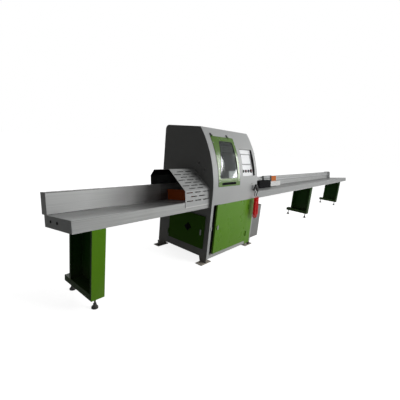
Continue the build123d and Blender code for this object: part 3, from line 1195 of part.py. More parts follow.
with BuildPart() as clamp_pad:
    with BuildSketch(bed_section(-PAD_LENGTH / 2)):
        with Locations((CLAMP_A, PAD_B + (PAD_FOOT + PAD_BRIDGE) / 2)):
            Rectangle(PAD_DEPTH, PAD_FOOT + PAD_BRIDGE)
    extrude(amount=PAD_LENGTH)
    with BuildSketch(bed_section(-PAD_SLOT / 2)):
        with Locations((CLAMP_A, PAD_B + PAD_FOOT / 2)):
            Rectangle(PAD_DEPTH, PAD_FOOT)
    extrude(amount=PAD_SLOT, mode=Mode.SUBTRACT)
    with BuildSketch(bed_plane(PAD_B + PAD_FOOT)):
        with Locations((0, CLAMP_A)):
            Circle(CLAMP_ROD_RADIUS)
    extrude(amount=PISTON_B - PAD_B - PAD_FOOT)
    with BuildSketch(bed_plane(PISTON_B)):
        with Locations((0, CLAMP_A)):
            Circle(CLAMP_BORE - RUNNING_FIT)
    extrude(amount=CLAMP_PISTON)
save(clamp_pad, "clamp_pad")

# Electrical backplate with a drive and a row of contactors behind the side door
BACKPLATE_IN = 260.0
BACKPLATE = 3.0
MODULE_DEPTH = 120.0
DRIVE_WIDTH = 180.0
DRIVE_HEIGHT = 280.0
CONTACTOR_WIDTH = 55.0
CONTACTOR_HEIGHT = 90.0
CONTACTOR_COUNT = 5
CONTACTOR_PITCH = 64.0
STANDOFF_RADIUS = 8.0
BACKPLATE_X = -INNER_X + BACKPLATE_IN
BACKPLATE_LENGTH = SIDE_DOOR_LENGTH - 4 * SIDE_DOOR_OVERLAP
BACKPLATE_HEIGHT = SIDE_DOOR_HEIGHT - 4 * SIDE_DOOR_OVERLAP
STANDOFF_Y = BACKPLATE_LENGTH / 2 + SIDE_DOOR_OVERLAP + STANDOFF_RADIUS

with BuildPart() as electrical_modules:
    with BuildSketch(Plane.YZ.offset(BACKPLATE_X)):
        with Locations((SIDE_DOOR_Y, SIDE_DOOR_Z)):
            Rectangle(2 * STANDOFF_Y + 2 * STANDOFF_RADIUS, BACKPLATE_HEIGHT)
    extrude(amount=-BACKPLATE)
    with BuildSketch(Plane.YZ.offset(BACKPLATE_X - BACKPLATE)):
        with Locations((SIDE_DOOR_Y - DRIVE_WIDTH, SIDE_DOOR_Z)):
            Rectangle(DRIVE_WIDTH, DRIVE_HEIGHT)
        with Locations((SIDE_DOOR_Y + DRIVE_WIDTH / 2, SIDE_DOOR_Z)):
            with GridLocations(CONTACTOR_PITCH, 2 * CONTACTOR_HEIGHT, CONTACTOR_COUNT, 2):
                Rectangle(CONTACTOR_WIDTH, CONTACTOR_HEIGHT)
    extrude(amount=-MODULE_DEPTH)
    with BuildSketch(Plane.YZ.offset(BACKPLATE_X - BACKPLATE)):
        with Locations((SIDE_DOOR_Y, SIDE_DOOR_Z)):
            with GridLocations(2 * STANDOFF_Y, BACKPLATE_HEIGHT / 2, 2, 2):
                Circle(STANDOFF_RADIUS)
    extrude(amount=-BACKPLATE_IN + BACKPLATE)
save(electrical_modules, "electrical_modules")


# Tables: folded trays on the tilted bed plane, with their fences
def table_tray(left, length):
    """Folded tray open underneath, with end walls."""
    with BuildPart() as tray:
        with BuildSketch(bed_section(left)):
            with Locations((TABLE_DEPTH / 2, -APRON / 2)):
                Rectangle(TABLE_DEPTH, APRON)
        extrude(amount=length)
        with BuildSketch(bed_section(left + TABLE_SHEET)):
            with Locations((TABLE_DEPTH / 2, -TABLE_SHEET - APRON / 2)):
                Rectangle(TABLE_DEPTH - 2 * TABLE_SHEET, APRON)
        extrude(amount=length - 2 * TABLE_SHEET, mode=Mode.SUBTRACT)
    return tray.part


with BuildPart() as outfeed_table:
    add(table_tray(OUTFEED_END, OUTFEED_LENGTH))
    with BuildSketch(bed_section(OUTFEED_END)):
        with Locations((END_HOLE_A, -END_HOLE_DROP)):
            with GridLocations(END_HOLE_SPACING, 1, 2, 1):
                Circle(END_HOLE_RADIUS)
    extrude(amount=TABLE_SHEET, mode=Mode.SUBTRACT)
save(outfeed_table, "outfeed_table")

with BuildPart() as infeed_table:
    add(table_tray(HALF_WIDTH, INFEED_LENGTH))
save(infeed_table, "infeed_table")

with BuildPart() as outfeed_fence:
    with BuildSketch(bed_section(OUTFEED_END)):
        with Locations((FENCE_FACE + FENCE_DEPTH / 2, FENCE_HEIGHT / 2)):
            Rectangle(FENCE_DEPTH, FENCE_HEIGHT)
    extrude(amount=OUTFEED_LENGTH)
    with BuildSketch(bed_section(OUTFEED_END + TABLE_SHEET)):
        with Locations((FENCE_FACE + FENCE_DEPTH / 2, FENCE_HEIGHT / 2)):
            Rectangle(FENCE_DEPTH - 2 * TABLE_SHEET, FENCE_HEIGHT - 2 * TABLE_SHEET)
    extrude(amount=OUTFEED_LENGTH, mode=Mode.SUBTRACT)
save(outfeed_fence, "outfeed_fence")

GROOVE_B = (30.0, 75.0)

with BuildPart() as infeed_fence:
    with BuildSketch(bed_section(HALF_WIDTH)):
        with Locations((FENCE_FACE + FENCE_DEPTH / 2, FENCE_HEIGHT / 2)):
            Rectangle(FENCE_DEPTH, FENCE_HEIGHT)
            Rectangle(
                FENCE_DEPTH - 2 * TABLE_SHEET - 2 * FENCE_GROOVE_DEPTH,
                FENCE_HEIGHT - 2 * TABLE_SHEET,
                mode=Mode.SUBTRACT,
            )
        for groove_b in GROOVE_B:
            with Locations((FENCE_FACE + FENCE_GROOVE_DEPTH / 2, groove_b)):
                Rectangle(FENCE_GROOVE_DEPTH, FENCE_GROOVE, mode=Mode.SUBTRACT)
    extrude(amount=INFEED_FENCE_LENGTH)
save(infeed_fence, "infeed_fence")


# Sheet legs: lipped channel, base bar and a head plate under the tilted tray
def table_leg(x):
    """Leg centred on x, open to the left, with holes for its levelling studs."""
    back_y = LEG_FRONT_Y + LEG_DEPTH
    left = x - LEG_WIDTH / 2
    with BuildPart() as leg:
        with BuildSketch(Plane.XY.offset(LEG_BOTTOM)):
            with Locations((x, LEG_FRONT_Y + LEG_DEPTH / 2)):
                Rectangle(LEG_WIDTH, LEG_DEPTH)
                Rectangle(LEG_WIDTH - 2 * LEG_SHEET, LEG_DEPTH - 2 * LEG_SHEET, mode=Mode.SUBTRACT)
            with Locations((left, LEG_FRONT_Y + LEG_DEPTH / 2)):
                Rectangle(4 * LEG_SHEET, LEG_DEPTH - 2 * LEG_LIP, mode=Mode.SUBTRACT)
        extrude(amount=BED_FRONT_HEIGHT - LEG_BOTTOM)
        split(bisect_by=bed_plane(-APRON - LEG_HEAD / 2), keep=Keep.BOTTOM)
        with BuildSketch(Plane.XZ.offset(-LEG_FRONT_Y)):
            with Locations((x, LEG_BOTTOM + LEG_BAR_HEIGHT / 2)):
                Rectangle(LEG_WIDTH, LEG_BAR_HEIGHT)
                Rectangle(LEG_WIDTH - 2 * LEG_SHEET, LEG_BAR_HEIGHT - 2 * LEG_SHEET, mode=Mode.SUBTRACT)
        extrude(amount=-LEG_BAR_LENGTH)
        with BuildSketch(bed_plane(-APRON - LEG_HEAD)):
            with Locations((x, LEG_HEAD_LENGTH / 2)):
                Rectangle(LEG_WIDTH, LEG_HEAD_LENGTH)
        extrude(amount=LEG_HEAD)
        with BuildSketch(Plane.XY.offset(LEG_BOTTOM)):
            with Locations((x, PAD_FRONT_Y), (x, PAD_BACK_Y)):
                Circle(STUD_RADIUS + STUD_CLEARANCE)
        extrude(amount=LEG_SHEET, mode=Mode.SUBTRACT)
    return leg.part


with BuildPart() as outfeed_leg:
    add(table_leg(OUTFEED_LEG_X))
save(outfeed_leg, "outfeed_leg")

INFEED_LEGS = (INFEED_LEG_X, INFEED_LEG_X + INFEED_LEG_PITCH)

with BuildPart() as infeed_legs:
    for leg_x in INFEED_LEGS:
        add(table_leg(leg_x))
save(infeed_legs, "infeed_legs")

STUD_TOP = LEG_BOTTOM + LEG_BAR_HEIGHT / 2
LOCKNUT_ACROSS = 26.0
LOCKNUT = 10.0

with BuildPart() as leveling_feet:
    for leg_x in (OUTFEED_LEG_X, *INFEED_LEGS):
        for foot_y in (PAD_FRONT_Y, PAD_BACK_Y):
            with BuildSketch(Plane.XY):
                with Locations((leg_x, foot_y)):
                    Circle(PAD_RADIUS)
            extrude(amount=PAD_HEIGHT)
            with BuildSketch(Plane.XY.offset(PAD_HEIGHT)):
                with Locations((leg_x, foot_y)):
                    Circle(STUD_RADIUS)
            extrude(amount=STUD_TOP - PAD_HEIGHT)
            with BuildSketch(Plane.XY.offset(LEG_BOTTOM - LOCKNUT)):
                with Locations((leg_x, foot_y)):
                    RegularPolygon(LOCKNUT_ACROSS / 2, 6, major_radius=False)
            extrude(amount=LOCKNUT)
save(leveling_feet, "leveling_feet")

# Slotted hood over the outfeed side of the tunnel
HOOD_LENGTH = 436.0
HOOD_DROP = 60.0
HOOD_LIP_B = 130.0
HOOD_TOP_B = 379.0
HOOD_TOP_FRONT = 241.0
HOOD_TOP_BACK = 502.0
HOOD_BACK = 575.0
HOOD_BACK_B = 308.0
SLOT_LENGTH = 110.0
SLOT_WIDTH = 11.0
SLOT_PITCH = 145.0
FACE_ROWS = (11.0, 60.0, 106.0)
SLANT_ROWS = 7
SLANT_PITCH = 45.0
SLANT_START = 32.0
HOOD_LEFT = -HALF_WIDTH - HOOD_LENGTH
HOOD_X = HOOD_LEFT + HOOD_LENGTH / 2
HOOD_OUTER = -HOOD_FRONT_GAP - HOOD_SHEET
SLANT_ANGLE = math.atan2(HOOD_TOP_B - HOOD_LIP_B, HOOD_TOP_FRONT - HOOD_OUTER)


def slot_row(index):
    """X places of one row of slots: three in even rows, two in odd rows."""
    count = 3 - index % 2
    return [HOOD_X + SLOT_PITCH * (place - (count - 1) / 2) for place in range(count)]


def slant_plane():
    """Plane of the hood's slanted face: x along the table, y up the slant, z outwards."""
    foot = bed_section(0).from_local_coords(Vector(HOOD_OUTER, HOOD_LIP_B, 0))
    up = bed_section(0).from_local_coords(
        Vector(HOOD_OUTER + math.cos(SLANT_ANGLE), HOOD_LIP_B + math.sin(SLANT_ANGLE), 0)
    )
    return Plane(origin=foot, x_dir=(1, 0, 0), z_dir=Vector(1, 0, 0).cross(up - foot))


with BuildPart() as hood:
    with BuildSketch(bed_section(HOOD_LEFT)):
        with BuildLine():
            Polyline(
                (HOOD_OUTER, -HOOD_DROP),
                (HOOD_OUTER, HOOD_LIP_B),
                (HOOD_TOP_FRONT, HOOD_TOP_B),
                (HOOD_TOP_BACK, HOOD_TOP_B),
                (HOOD_BACK, HOOD_BACK_B),
                (HOOD_BACK, -HOOD_DROP),
            )
            offset(amount=HOOD_SHEET, side=Side.RIGHT)
        make_face()
    extrude(amount=HOOD_LENGTH)
    with BuildSketch(bed_front(HOOD_OUTER)):
        for row, row_b in enumerate(FACE_ROWS):
            with Locations(*[(slot_x, row_b) for slot_x in slot_row(row)]):
                SlotOverall(SLOT_LENGTH, SLOT_WIDTH)
    extrude(amount=-HOOD_SHEET, mode=Mode.SUBTRACT)
    with BuildSketch(slant_plane()):
        for row in range(SLANT_ROWS):
            row_rise = SLANT_START + row * SLANT_PITCH
            with Locations(*[(slot_x, row_rise) for slot_x in slot_row(row + 1)]):
                SlotOverall(SLOT_LENGTH, SLOT_WIDTH)
    extrude(amount=-2 * HOOD_SHEET, mode=Mode.SUBTRACT)
save(hood, "hood")

# Feed rail and rodless feed cylinder along the infeed fence, with the bracket at their end
FEED_START = 15.0
FEED_LEFT = HALF_WIDTH + FEED_START
RAIL_B = 160.0
RAIL_WIDTH = 20.0
RAIL_THICK = 16.0
TUBE_B = 127.0
TUBE_SIZE = 30.0
TUBE_CORNER = 4.0
FEED_GAP = 0.3
FEED_END = HALF_WIDTH + INFEED_FENCE_LENGTH
FEED_LENGTH = FEED_END - FEED_LEFT

with BuildPart() as feed_rail:
    with BuildSketch(bed_section(FEED_LEFT)):
        with Locations((FENCE_FACE - RAIL_THICK / 2, RAIL_B)):
            Rectangle(RAIL_THICK, RAIL_WIDTH)
    extrude(amount=FEED_LENGTH)
save(feed_rail, "feed_rail")

with BuildPart() as feed_cylinder:
    with BuildSketch(bed_section(FEED_LEFT)):
        with Locations((FENCE_FACE - TUBE_SIZE / 2, TUBE_B)):
            RectangleRounded(TUBE_SIZE, TUBE_SIZE, TUBE_CORNER)
    extrude(amount=FEED_LENGTH)
save(feed_cylinder, "feed_cylinder")

BRACKET_POST = 12.0
BRACKET_FRONT = 396.0
BRACKET_HEIGHT = 215.0
BRACKET_LENGTH = 120.0
BRACKET_PLATE = 8.0

with BuildPart() as rail_end_bracket:
    with BuildSketch(bed_section(FEED_END)):
        with Locations(((BRACKET_FRONT + FENCE_BACK) / 2, BRACKET_HEIGHT / 2)):
            Rectangle(FENCE_BACK - BRACKET_FRONT, BRACKET_HEIGHT)
    extrude(amount=BRACKET_POST)
    with BuildSketch(bed_section(FEED_END)):
        with Locations((BRACKET_FRONT + BRACKET_PLATE / 2, FENCE_HEIGHT / 2)):
            Rectangle(BRACKET_PLATE, FENCE_HEIGHT)
    extrude(amount=BRACKET_LENGTH)
save(rail_end_bracket, "rail_end_bracket")

# Feed carriage with its pusher
CARRIAGE_PARKED = 1172.0
CARRIAGE_LEFT = HALF_WIDTH + CARRIAGE_PARKED
CARRIAGE_LENGTH = 342.0
CARRIAGE_FRONT = 400.0
CARRIAGE_BOTTOM = 60.0
CARRIAGE_TOP = 217.0
COVER_LENGTH = 217.0
COVER_BOTTOM = 88.0
COVER_TOP = 201.0
NOSE_PARKED = 701.0
NOSE_LEFT = HALF_WIDTH + NOSE_PARKED
NOSE_LENGTH = 481.0
NOSE_FRONT = 262.0
NOSE_DEPTH = CARRIAGE_FRONT - NOSE_FRONT
NOSE_BOTTOM = 4.0
NOSE_HEIGHT = 136.0
NOSE_ROUND = 45.0
HOUSING_X_LENGTH = 464.0
HOUSING_FRONT = 266.0
HOUSING_BOTTOM_B = 9.0
HOUSING_HEIGHT = 95.0
HOUSING_CORNER = 4.0
CARRIAGE_BACK = FENCE_FACE - FEED_GAP


def carriage_slice(left, length, bottom, top):
    """Block that runs on the feed rail and the cylinder, with clearance around both."""
    with BuildPart() as block:
        with BuildSketch(bed_section(left)):
            with Locations(((CARRIAGE_FRONT + CARRIAGE_BACK) / 2, (bottom + top) / 2)):
                Rectangle(CARRIAGE_BACK - CARRIAGE_FRONT, top - bottom)
            with Locations((FENCE_FACE - RAIL_THICK / 2, RAIL_B)):
                Rectangle(RAIL_THICK + 2 * FEED_GAP, RAIL_WIDTH + 2 * FEED_GAP, mode=Mode.SUBTRACT)
            with Locations((FENCE_FACE - TUBE_SIZE / 2, TUBE_B)):
                Rectangle(TUBE_SIZE + 2 * FEED_GAP, TUBE_SIZE + 2 * FEED_GAP, mode=Mode.SUBTRACT)
        extrude(amount=length)
    return block


save(carriage_slice(CARRIAGE_LEFT, CARRIAGE_LENGTH, CARRIAGE_BOTTOM, CARRIAGE_TOP), "feed_carriage")
save(
    carriage_slice(CARRIAGE_LEFT + CARRIAGE_LENGTH, COVER_LENGTH, COVER_BOTTOM, COVER_TOP),
    "drive_cover",
)

with BuildPart() as pusher_nose:
    with BuildSketch(bed_section(NOSE_LEFT)):
        with Locations((NOSE_FRONT + NOSE_DEPTH / 2, NOSE_BOTTOM + NOSE_HEIGHT / 2)):
            Rectangle(NOSE_DEPTH, NOSE_HEIGHT)
    extrude(amount=NOSE_LENGTH)
    fillet(pusher_nose.edges().group_by(Axis.X)[0], NOSE_ROUND)
save(pusher_nose, "pusher_nose")

with BuildPart() as pusher_housing:
    with BuildSketch(bed_section(NOSE_LEFT + NOSE_LENGTH)):
        with Locations(((HOUSING_FRONT + CARRIAGE_FRONT) / 2, HOUSING_BOTTOM_B + HOUSING_HEIGHT / 2)):
            RectangleRounded(CARRIAGE_FRONT - HOUSING_FRONT, HOUSING_HEIGHT, HOUSING_CORNER)
    extrude(amount=HOUSING_X_LENGTH)
save(pusher_housing, "pusher_housing")

# Air gun on its hook at the right of the front
GUN_MARGIN = 117.0
GUN_Z = 980.0
GUN_Y = -500.0
GUN_THICK = 28.0
GUN_X = HALF_WIDTH - GUN_MARGIN
GRIP_REACH = 65.0
GRIP_FALL = 73.0
GRIP_WIDTH = 30.0
NOZZLE_REACH = 40.0
NOZZLE_FALL = 60.0
NOZZLE_WIDTH = 15.0
EYE_RADIUS = 4.5
PEG_RADIUS = 4.0
PEG_REACH = 72.0
HOOK_REACH = 46.0
HOOK_RISE = 26.0
HOOK_WIDTH = 16.0
HOOK_SHEET = 4.0
TRIGGER_WIDTH = 8.0
TRIGGER_THICK = 13.0
TRIGGER_SPLAY = 8.0
TRIGGER_START = 0.16
TRIGGER_LENGTH = 66.0
TRIGGER_OFFSET = 24.0
TRIGGER_PIN = 2.5
EAR_RADIUS = 8.0
GRIP_LENGTH = math.hypot(GRIP_REACH, GRIP_FALL)
GRIP_ANGLE = math.degrees(math.atan2(-GRIP_FALL, GRIP_REACH))
GRIP_DIRECTION = (GRIP_REACH / GRIP_LENGTH, -GRIP_FALL / GRIP_LENGTH)
TRIGGER_X = GUN_X + TRIGGER_START * GRIP_REACH - TRIGGER_OFFSET * GRIP_DIRECTION[1]
TRIGGER_Z = GUN_Z - TRIGGER_START * GRIP_FALL + TRIGGER_OFFSET * GRIP_DIRECTION[0]
TRIGGER_ANGLE = GRIP_ANGLE + TRIGGER_SPLAY
TRIGGER_MIDDLE_X = TRIGGER_X + TRIGGER_LENGTH / 2 * math.cos(math.radians(TRIGGER_ANGLE))
TRIGGER_MIDDLE_Z = TRIGGER_Z + TRIGGER_LENGTH / 2 * math.sin(math.radians(TRIGGER_ANGLE))
EAR_GAP = 0.4
EAR_SLOT = TRIGGER_THICK + 2 * EAR_GAP
GUN_PLANE = Plane.XZ.offset(-GUN_Y - GUN_THICK / 2)

with BuildPart() as air_gun:
    with BuildSketch(GUN_PLANE):
        with Locations((GUN_X + GRIP_REACH / 2, GUN_Z - GRIP_FALL / 2)):
            SlotCenterToCenter(GRIP_LENGTH, GRIP_WIDTH, rotation=GRIP_ANGLE)
        with Locations((GUN_X - NOZZLE_REACH / 2, GUN_Z - NOZZLE_FALL / 2)):
            SlotCenterToCenter(
                math.hypot(NOZZLE_REACH, NOZZLE_FALL),
                NOZZLE_WIDTH,
                rotation=math.degrees(math.atan2(NOZZLE_FALL, NOZZLE_REACH)),
            )
        with Locations((TRIGGER_X, TRIGGER_Z)):
            Circle(EAR_RADIUS)
        with BuildLine():
            Polyline(
                (GUN_X, GUN_Z),
                (TRIGGER_X, TRIGGER_Z + EAR_RADIUS),
                (TRIGGER_X, TRIGGER_Z - EAR_RADIUS),
                close=True,
            )
        make_face()
        with Locations((GUN_X, GUN_Z)):
            Circle(EYE_RADIUS, mode=Mode.SUBTRACT)
    extrude(amount=GUN_THICK)
    with BuildSketch(Plane.XZ.offset(-GUN_Y - EAR_SLOT / 2)):
        with Locations((TRIGGER_X, TRIGGER_Z)):
            Circle(EAR_RADIUS + EAR_GAP)
        with Locations((TRIGGER_MIDDLE_X, TRIGGER_MIDDLE_Z)):
            SlotCenterToCenter(TRIGGER_LENGTH, TRIGGER_WIDTH + 2 * EAR_GAP, rotation=TRIGGER_ANGLE)
    extrude(amount=EAR_SLOT, mode=Mode.SUBTRACT)
    with BuildSketch(GUN_PLANE):
        with Locations((TRIGGER_X, TRIGGER_Z)):
            Circle(TRIGGER_PIN)
    extrude(amount=GUN_THICK)
save(air_gun, "air_gun")

with BuildPart() as gun_trigger:
    with BuildSketch(Plane.XZ.offset(-GUN_Y - TRIGGER_THICK / 2)):
        with Locations((TRIGGER_MIDDLE_X, TRIGGER_MIDDLE_Z)):
            SlotCenterToCenter(TRIGGER_LENGTH, TRIGGER_WIDTH, rotation=TRIGGER_ANGLE)
        with Locations((TRIGGER_X, TRIGGER_Z)):
            Circle(TRIGGER_PIN + RUNNING_FIT, mode=Mode.SUBTRACT)
    extrude(amount=TRIGGER_THICK)
save(gun_trigger, "gun_trigger")

HOOK_PLANE = front_plane(GUN_X, GUN_Z, -HATCH_GAP)

with BuildPart() as gun_hook:
    with BuildSketch(HOOK_PLANE):
        with Locations((-HOOK_REACH / 2, HOOK_RISE / 2)):
            SlotCenterToCenter(
                math.hypot(HOOK_REACH, HOOK_RISE),
                HOOK_WIDTH,
                rotation=-math.degrees(math.atan2(HOOK_RISE, HOOK_REACH)),
            )
    extrude(amount=HOOK_SHEET)
    with BuildSketch(Plane.XZ.offset(-HOOK_PLANE.origin.Y)):
        with Locations((GUN_X, GUN_Z)):
            Circle(PEG_RADIUS)
    extrude(amount=PEG_REACH)
save(gun_hook, "gun_hook")

# Curly air hose: U-shaped bundle of curls under the gun, with its two straight tails
HOSE_RADIUS = 4.0
HOSE_Y = -520.0
CURL_RADIUS = 20.0
LEG_PITCH = 10.5
BEND_PITCH = 20.0
LEG_TOP_Z = 800.0
LEFT_LEG = 1.0
RIGHT_LEG = 53.0
BEND_OFFSET = 56.0
BEND_Z = 532.0
BEND_RADIUS = 38.0
LEAD_IN = 16.0
HOSE_END = 2 * HOSE_RADIUS
GAP_STEPS = 24
TURN_STEP = 0.001
LEFT_TOP_X = GUN_X + LEFT_LEG
RIGHT_TOP_X = GUN_X + RIGHT_LEG
BEND_X = GUN_X + BEND_OFFSET


def tangent_point(top_x, side):
    """Where the straight line from a leg's top touches the bend circle, and its angle there."""
    dx = top_x - BEND_X
    dz = LEG_TOP_Z - BEND_Z
    spread = math.acos(BEND_RADIUS / math.hypot(dx, dz))
    angle = math.atan2(dz, dx) + side * spread
    return angle, BEND_X + BEND_RADIUS * math.cos(angle), BEND_Z + BEND_RADIUS * math.sin(angle)


LEFT_ANGLE, LEFT_X, LEFT_Z = tangent_point(LEFT_TOP_X, 1)
RIGHT_ANGLE, RIGHT_X, RIGHT_Z = tangent_point(RIGHT_TOP_X, -1)
LEFT_RUN = math.hypot(LEFT_X - LEFT_TOP_X, LEFT_Z - LEG_TOP_Z)
RIGHT_RUN = math.hypot(RIGHT_X - RIGHT_TOP_X, RIGHT_Z - LEG_TOP_Z)
BEND_SWEEP = 2 * math.pi + RIGHT_ANGLE - LEFT_ANGLE
BEND_RUN = BEND_RADIUS * BEND_SWEEP
LEFT_CURLS = round(2 * LEFT_RUN / LEG_PITCH) / 2
BEND_CURLS = round(2 * BEND_RUN / BEND_PITCH) / 2
RIGHT_CURLS = round(LEFT_CURLS + BEND_CURLS + RIGHT_RUN / LEG_PITCH) - LEFT_CURLS - BEND_CURLS
CURLS = LEFT_CURLS + BEND_CURLS + RIGHT_CURLS


def curl_axis(turn):
    """Point and direction of the bundle's centre line after a number of turns."""
    if turn <= LEFT_CURLS:
        along = Vector(LEFT_X - LEFT_TOP_X, 0, LEFT_Z - LEG_TOP_Z)
        return Vector(LEFT_TOP_X, HOSE_Y, LEG_TOP_Z) + along * (turn / LEFT_CURLS), along.normalized()
    if turn <= LEFT_CURLS + BEND_CURLS:
        angle = LEFT_ANGLE + BEND_SWEEP * (turn - LEFT_CURLS) / BEND_CURLS
        point = Vector(BEND_X + BEND_RADIUS * math.cos(angle), HOSE_Y, BEND_Z + BEND_RADIUS * math.sin(angle))
        return point, Vector(-math.sin(angle), 0, math.cos(angle))
    share = (turn - LEFT_CURLS - BEND_CURLS) / RIGHT_CURLS
    along = Vector(RIGHT_TOP_X - RIGHT_X, 0, LEG_TOP_Z - RIGHT_Z)
    return Vector(RIGHT_X, HOSE_Y, RIGHT_Z) + along * share, along.normalized()


def curl_point(turn):
    """Point of the hose's own centre line after a number of turns."""
    centre, along = curl_axis(turn)
    across = Vector(0, 1, 0)
    beside = along.cross(across)
    angle = 2 * math.pi * turn
    return centre + across * (CURL_RADIUS * math.cos(angle)) + beside * (CURL_RADIUS * math.sin(angle))


def curl_direction(turn):
    """Direction of the hose's centre line, from two points close together."""
    before = max(turn - TURN_STEP, 0)
    after = min(turn + TURN_STEP, CURLS)
    return (curl_point(after) - curl_point(before)).normalized()


def biarc(start, start_direction, end, end_direction):
    """Two arcs that join two points along the given directions."""
    chord = end - start
    both = start_direction + end_direction
    bend = 2 * (1 - start_direction.dot(end_direction))
    reach = (math.sqrt(chord.dot(both) ** 2 + bend * chord.dot(chord)) - chord.dot(both)) / bend
    first = start + start_direction * reach
    last = end - end_direction * reach
    joint = (first + last) * 0.5
    TangentArc(start, joint, tangent=start_direction)
    TangentArc(joint, end, tangent=last - first)


HALF_TURNS = [half / 2 for half in range(int(2 * CURLS) + 1)]
HOSE_DOWN = Vector(0, 0, -1)
HOSE_UP = Vector(0, 0, 1)
HOSE_START = curl_point(0) + HOSE_UP * LEAD_IN
HOSE_FINISH = curl_point(CURLS) + HOSE_UP * LEAD_IN

with BuildPart() as air_hose:
    with BuildLine() as hose_line:
        Line(HOSE_START + HOSE_UP * HOSE_END, HOSE_START)
        biarc(HOSE_START, HOSE_DOWN, curl_point(0), curl_direction(0))
        for turn in HALF_TURNS[1:]:
            biarc(curl_point(turn - 0.5), curl_direction(turn - 0.5), curl_point(turn), curl_direction(turn))
        biarc(curl_point(CURLS), curl_direction(CURLS), HOSE_FINISH, HOSE_UP)
        Line(HOSE_FINISH, HOSE_FINISH + HOSE_UP * HOSE_END)
    with BuildSketch(Plane(origin=HOSE_START + HOSE_UP * HOSE_END, z_dir=HOSE_DOWN)):
        Circle(HOSE_RADIUS)
    sweep(path=hose_line.wires()[0])
save(air_hose, "air_hose")

HOSE_POINTS = [curl_point(step / GAP_STEPS) for step in range(int(CURLS * GAP_STEPS) + 1)]
HOSE_GAP = min(
    (HOSE_POINTS[first] - HOSE_POINTS[second]).length
    for first in range(len(HOSE_POINTS))
    for second in range(first + GAP_STEPS // 2, min(first + 2 * GAP_STEPS, len(HOSE_POINTS)))
)
print("curls", CURLS, "least gap between curls", round(HOSE_GAP - 2 * HOSE_RADIUS, 2))

# Tails: from the outlet in the skin to the hose, and from the hose to the gun's grip
TAIL_RADIUS = 6.5
OUTLET_Z = 905.0
OUTLET_BEND = 22.0
TAIL_LEAN = 6.0
TAIL_DROP = 12.0
TAIL_SWAY = 14.0
TAIL_LEAD = 14.0
TAIL_BEND = 9.0
GRIP_END_X = GUN_X + GRIP_REACH + GRIP_DIRECTION[0] * (GRIP_WIDTH / 2 + FEED_GAP)
GRIP_END_Z = GUN_Z - GRIP_FALL + GRIP_DIRECTION[1] * (GRIP_WIDTH / 2 + FEED_GAP)
TAIL_END = HOSE_FINISH + HOSE_UP * HOSE_END
OUTLET_END = HOSE_START + HOSE_UP * HOSE_END
OUTLET_Y = front_y(OUTLET_Z) - HATCH_GAP
TAIL_POINTS = (
    (GRIP_END_X, GUN_Y, GRIP_END_Z),
    (GRIP_END_X + TAIL_LEAN, GUN_Y, GRIP_END_Z - TAIL_DROP),
    (TAIL_END.X + TAIL_SWAY, (GUN_Y + TAIL_END.Y) / 2, (GRIP_END_Z + TAIL_END.Z) / 2),
    (TAIL_END.X, TAIL_END.Y, TAIL_END.Z + TAIL_LEAD),
    TAIL_END,
)

with BuildPart() as hose_tails:
    with BuildLine() as outlet_line:
        FilletPolyline(
            (OUTLET_END.X, OUTLET_Y, OUTLET_Z),
            (OUTLET_END.X, OUTLET_END.Y, OUTLET_Z),
            OUTLET_END,
            radius=OUTLET_BEND,
        )
    with BuildSketch(Plane(origin=(OUTLET_END.X, OUTLET_Y, OUTLET_Z), z_dir=(0, -1, 0))):
        Circle(TAIL_RADIUS)
    sweep(path=outlet_line.wires()[0])
    with BuildLine() as tail_line:
        FilletPolyline(*TAIL_POINTS, radius=TAIL_BEND)
    with BuildSketch(Plane(origin=TAIL_POINTS[0], z_dir=Vector(*TAIL_POINTS[1]) - Vector(*TAIL_POINTS[0]))):
        Circle(TAIL_RADIUS)
    sweep(path=tail_line.wires()[0])
save(hose_tails, "hose_tails")
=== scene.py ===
# %% [markdown]
# # A pallet block cutoff saw, dressed for the camera
# The machine is a floor-standing saw. Lumber slides along a nine metre line, a pusher feeds it into
# a curved cabinet, and a blade comes up through the bed to cut it into blocks. The solid model
# already has every piece at its real size, so this lesson adds light, finishes and small details.

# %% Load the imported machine
import math

import bmesh
import bpy
from mathutils import Matrix, Quaternion, Vector


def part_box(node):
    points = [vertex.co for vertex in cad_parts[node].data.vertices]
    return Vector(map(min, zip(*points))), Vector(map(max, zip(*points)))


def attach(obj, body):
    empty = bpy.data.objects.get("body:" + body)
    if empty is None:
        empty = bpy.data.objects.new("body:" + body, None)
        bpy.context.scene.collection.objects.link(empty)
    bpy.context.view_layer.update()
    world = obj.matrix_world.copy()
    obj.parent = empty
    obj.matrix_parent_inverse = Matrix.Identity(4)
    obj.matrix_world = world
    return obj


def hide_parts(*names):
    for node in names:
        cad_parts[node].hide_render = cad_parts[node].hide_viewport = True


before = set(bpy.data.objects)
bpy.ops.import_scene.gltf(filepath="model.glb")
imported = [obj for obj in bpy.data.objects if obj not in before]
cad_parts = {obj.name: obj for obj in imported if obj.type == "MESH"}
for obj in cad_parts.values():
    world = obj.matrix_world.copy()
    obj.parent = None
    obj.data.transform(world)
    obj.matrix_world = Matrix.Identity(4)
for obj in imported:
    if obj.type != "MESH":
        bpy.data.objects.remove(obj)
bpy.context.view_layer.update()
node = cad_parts
bpy.ops.object.select_all(action="DESELECT")
print("pieces in the frame:", len(node))

# %% [markdown]
# ## Camera
# The photographer stood near the outfeed end with a short lens, a little above chest height, and
# held the camera slightly turned. Its place, turn and lens were found by matching corners of the
# cabinet, the table and the legs, so the same view can be set directly.

# %% Camera
EYE = Vector((-3.197, -2.379, 1.516))
YAW = math.radians(51.27)
PITCH = math.radians(11.79)
ROLL = math.radians(5.48)
FOCAL_PIXELS = 271.5
PHOTO_PIXELS = 400.0
SENSOR_WIDTH = 36.0
FAR_LIMIT = 200.0

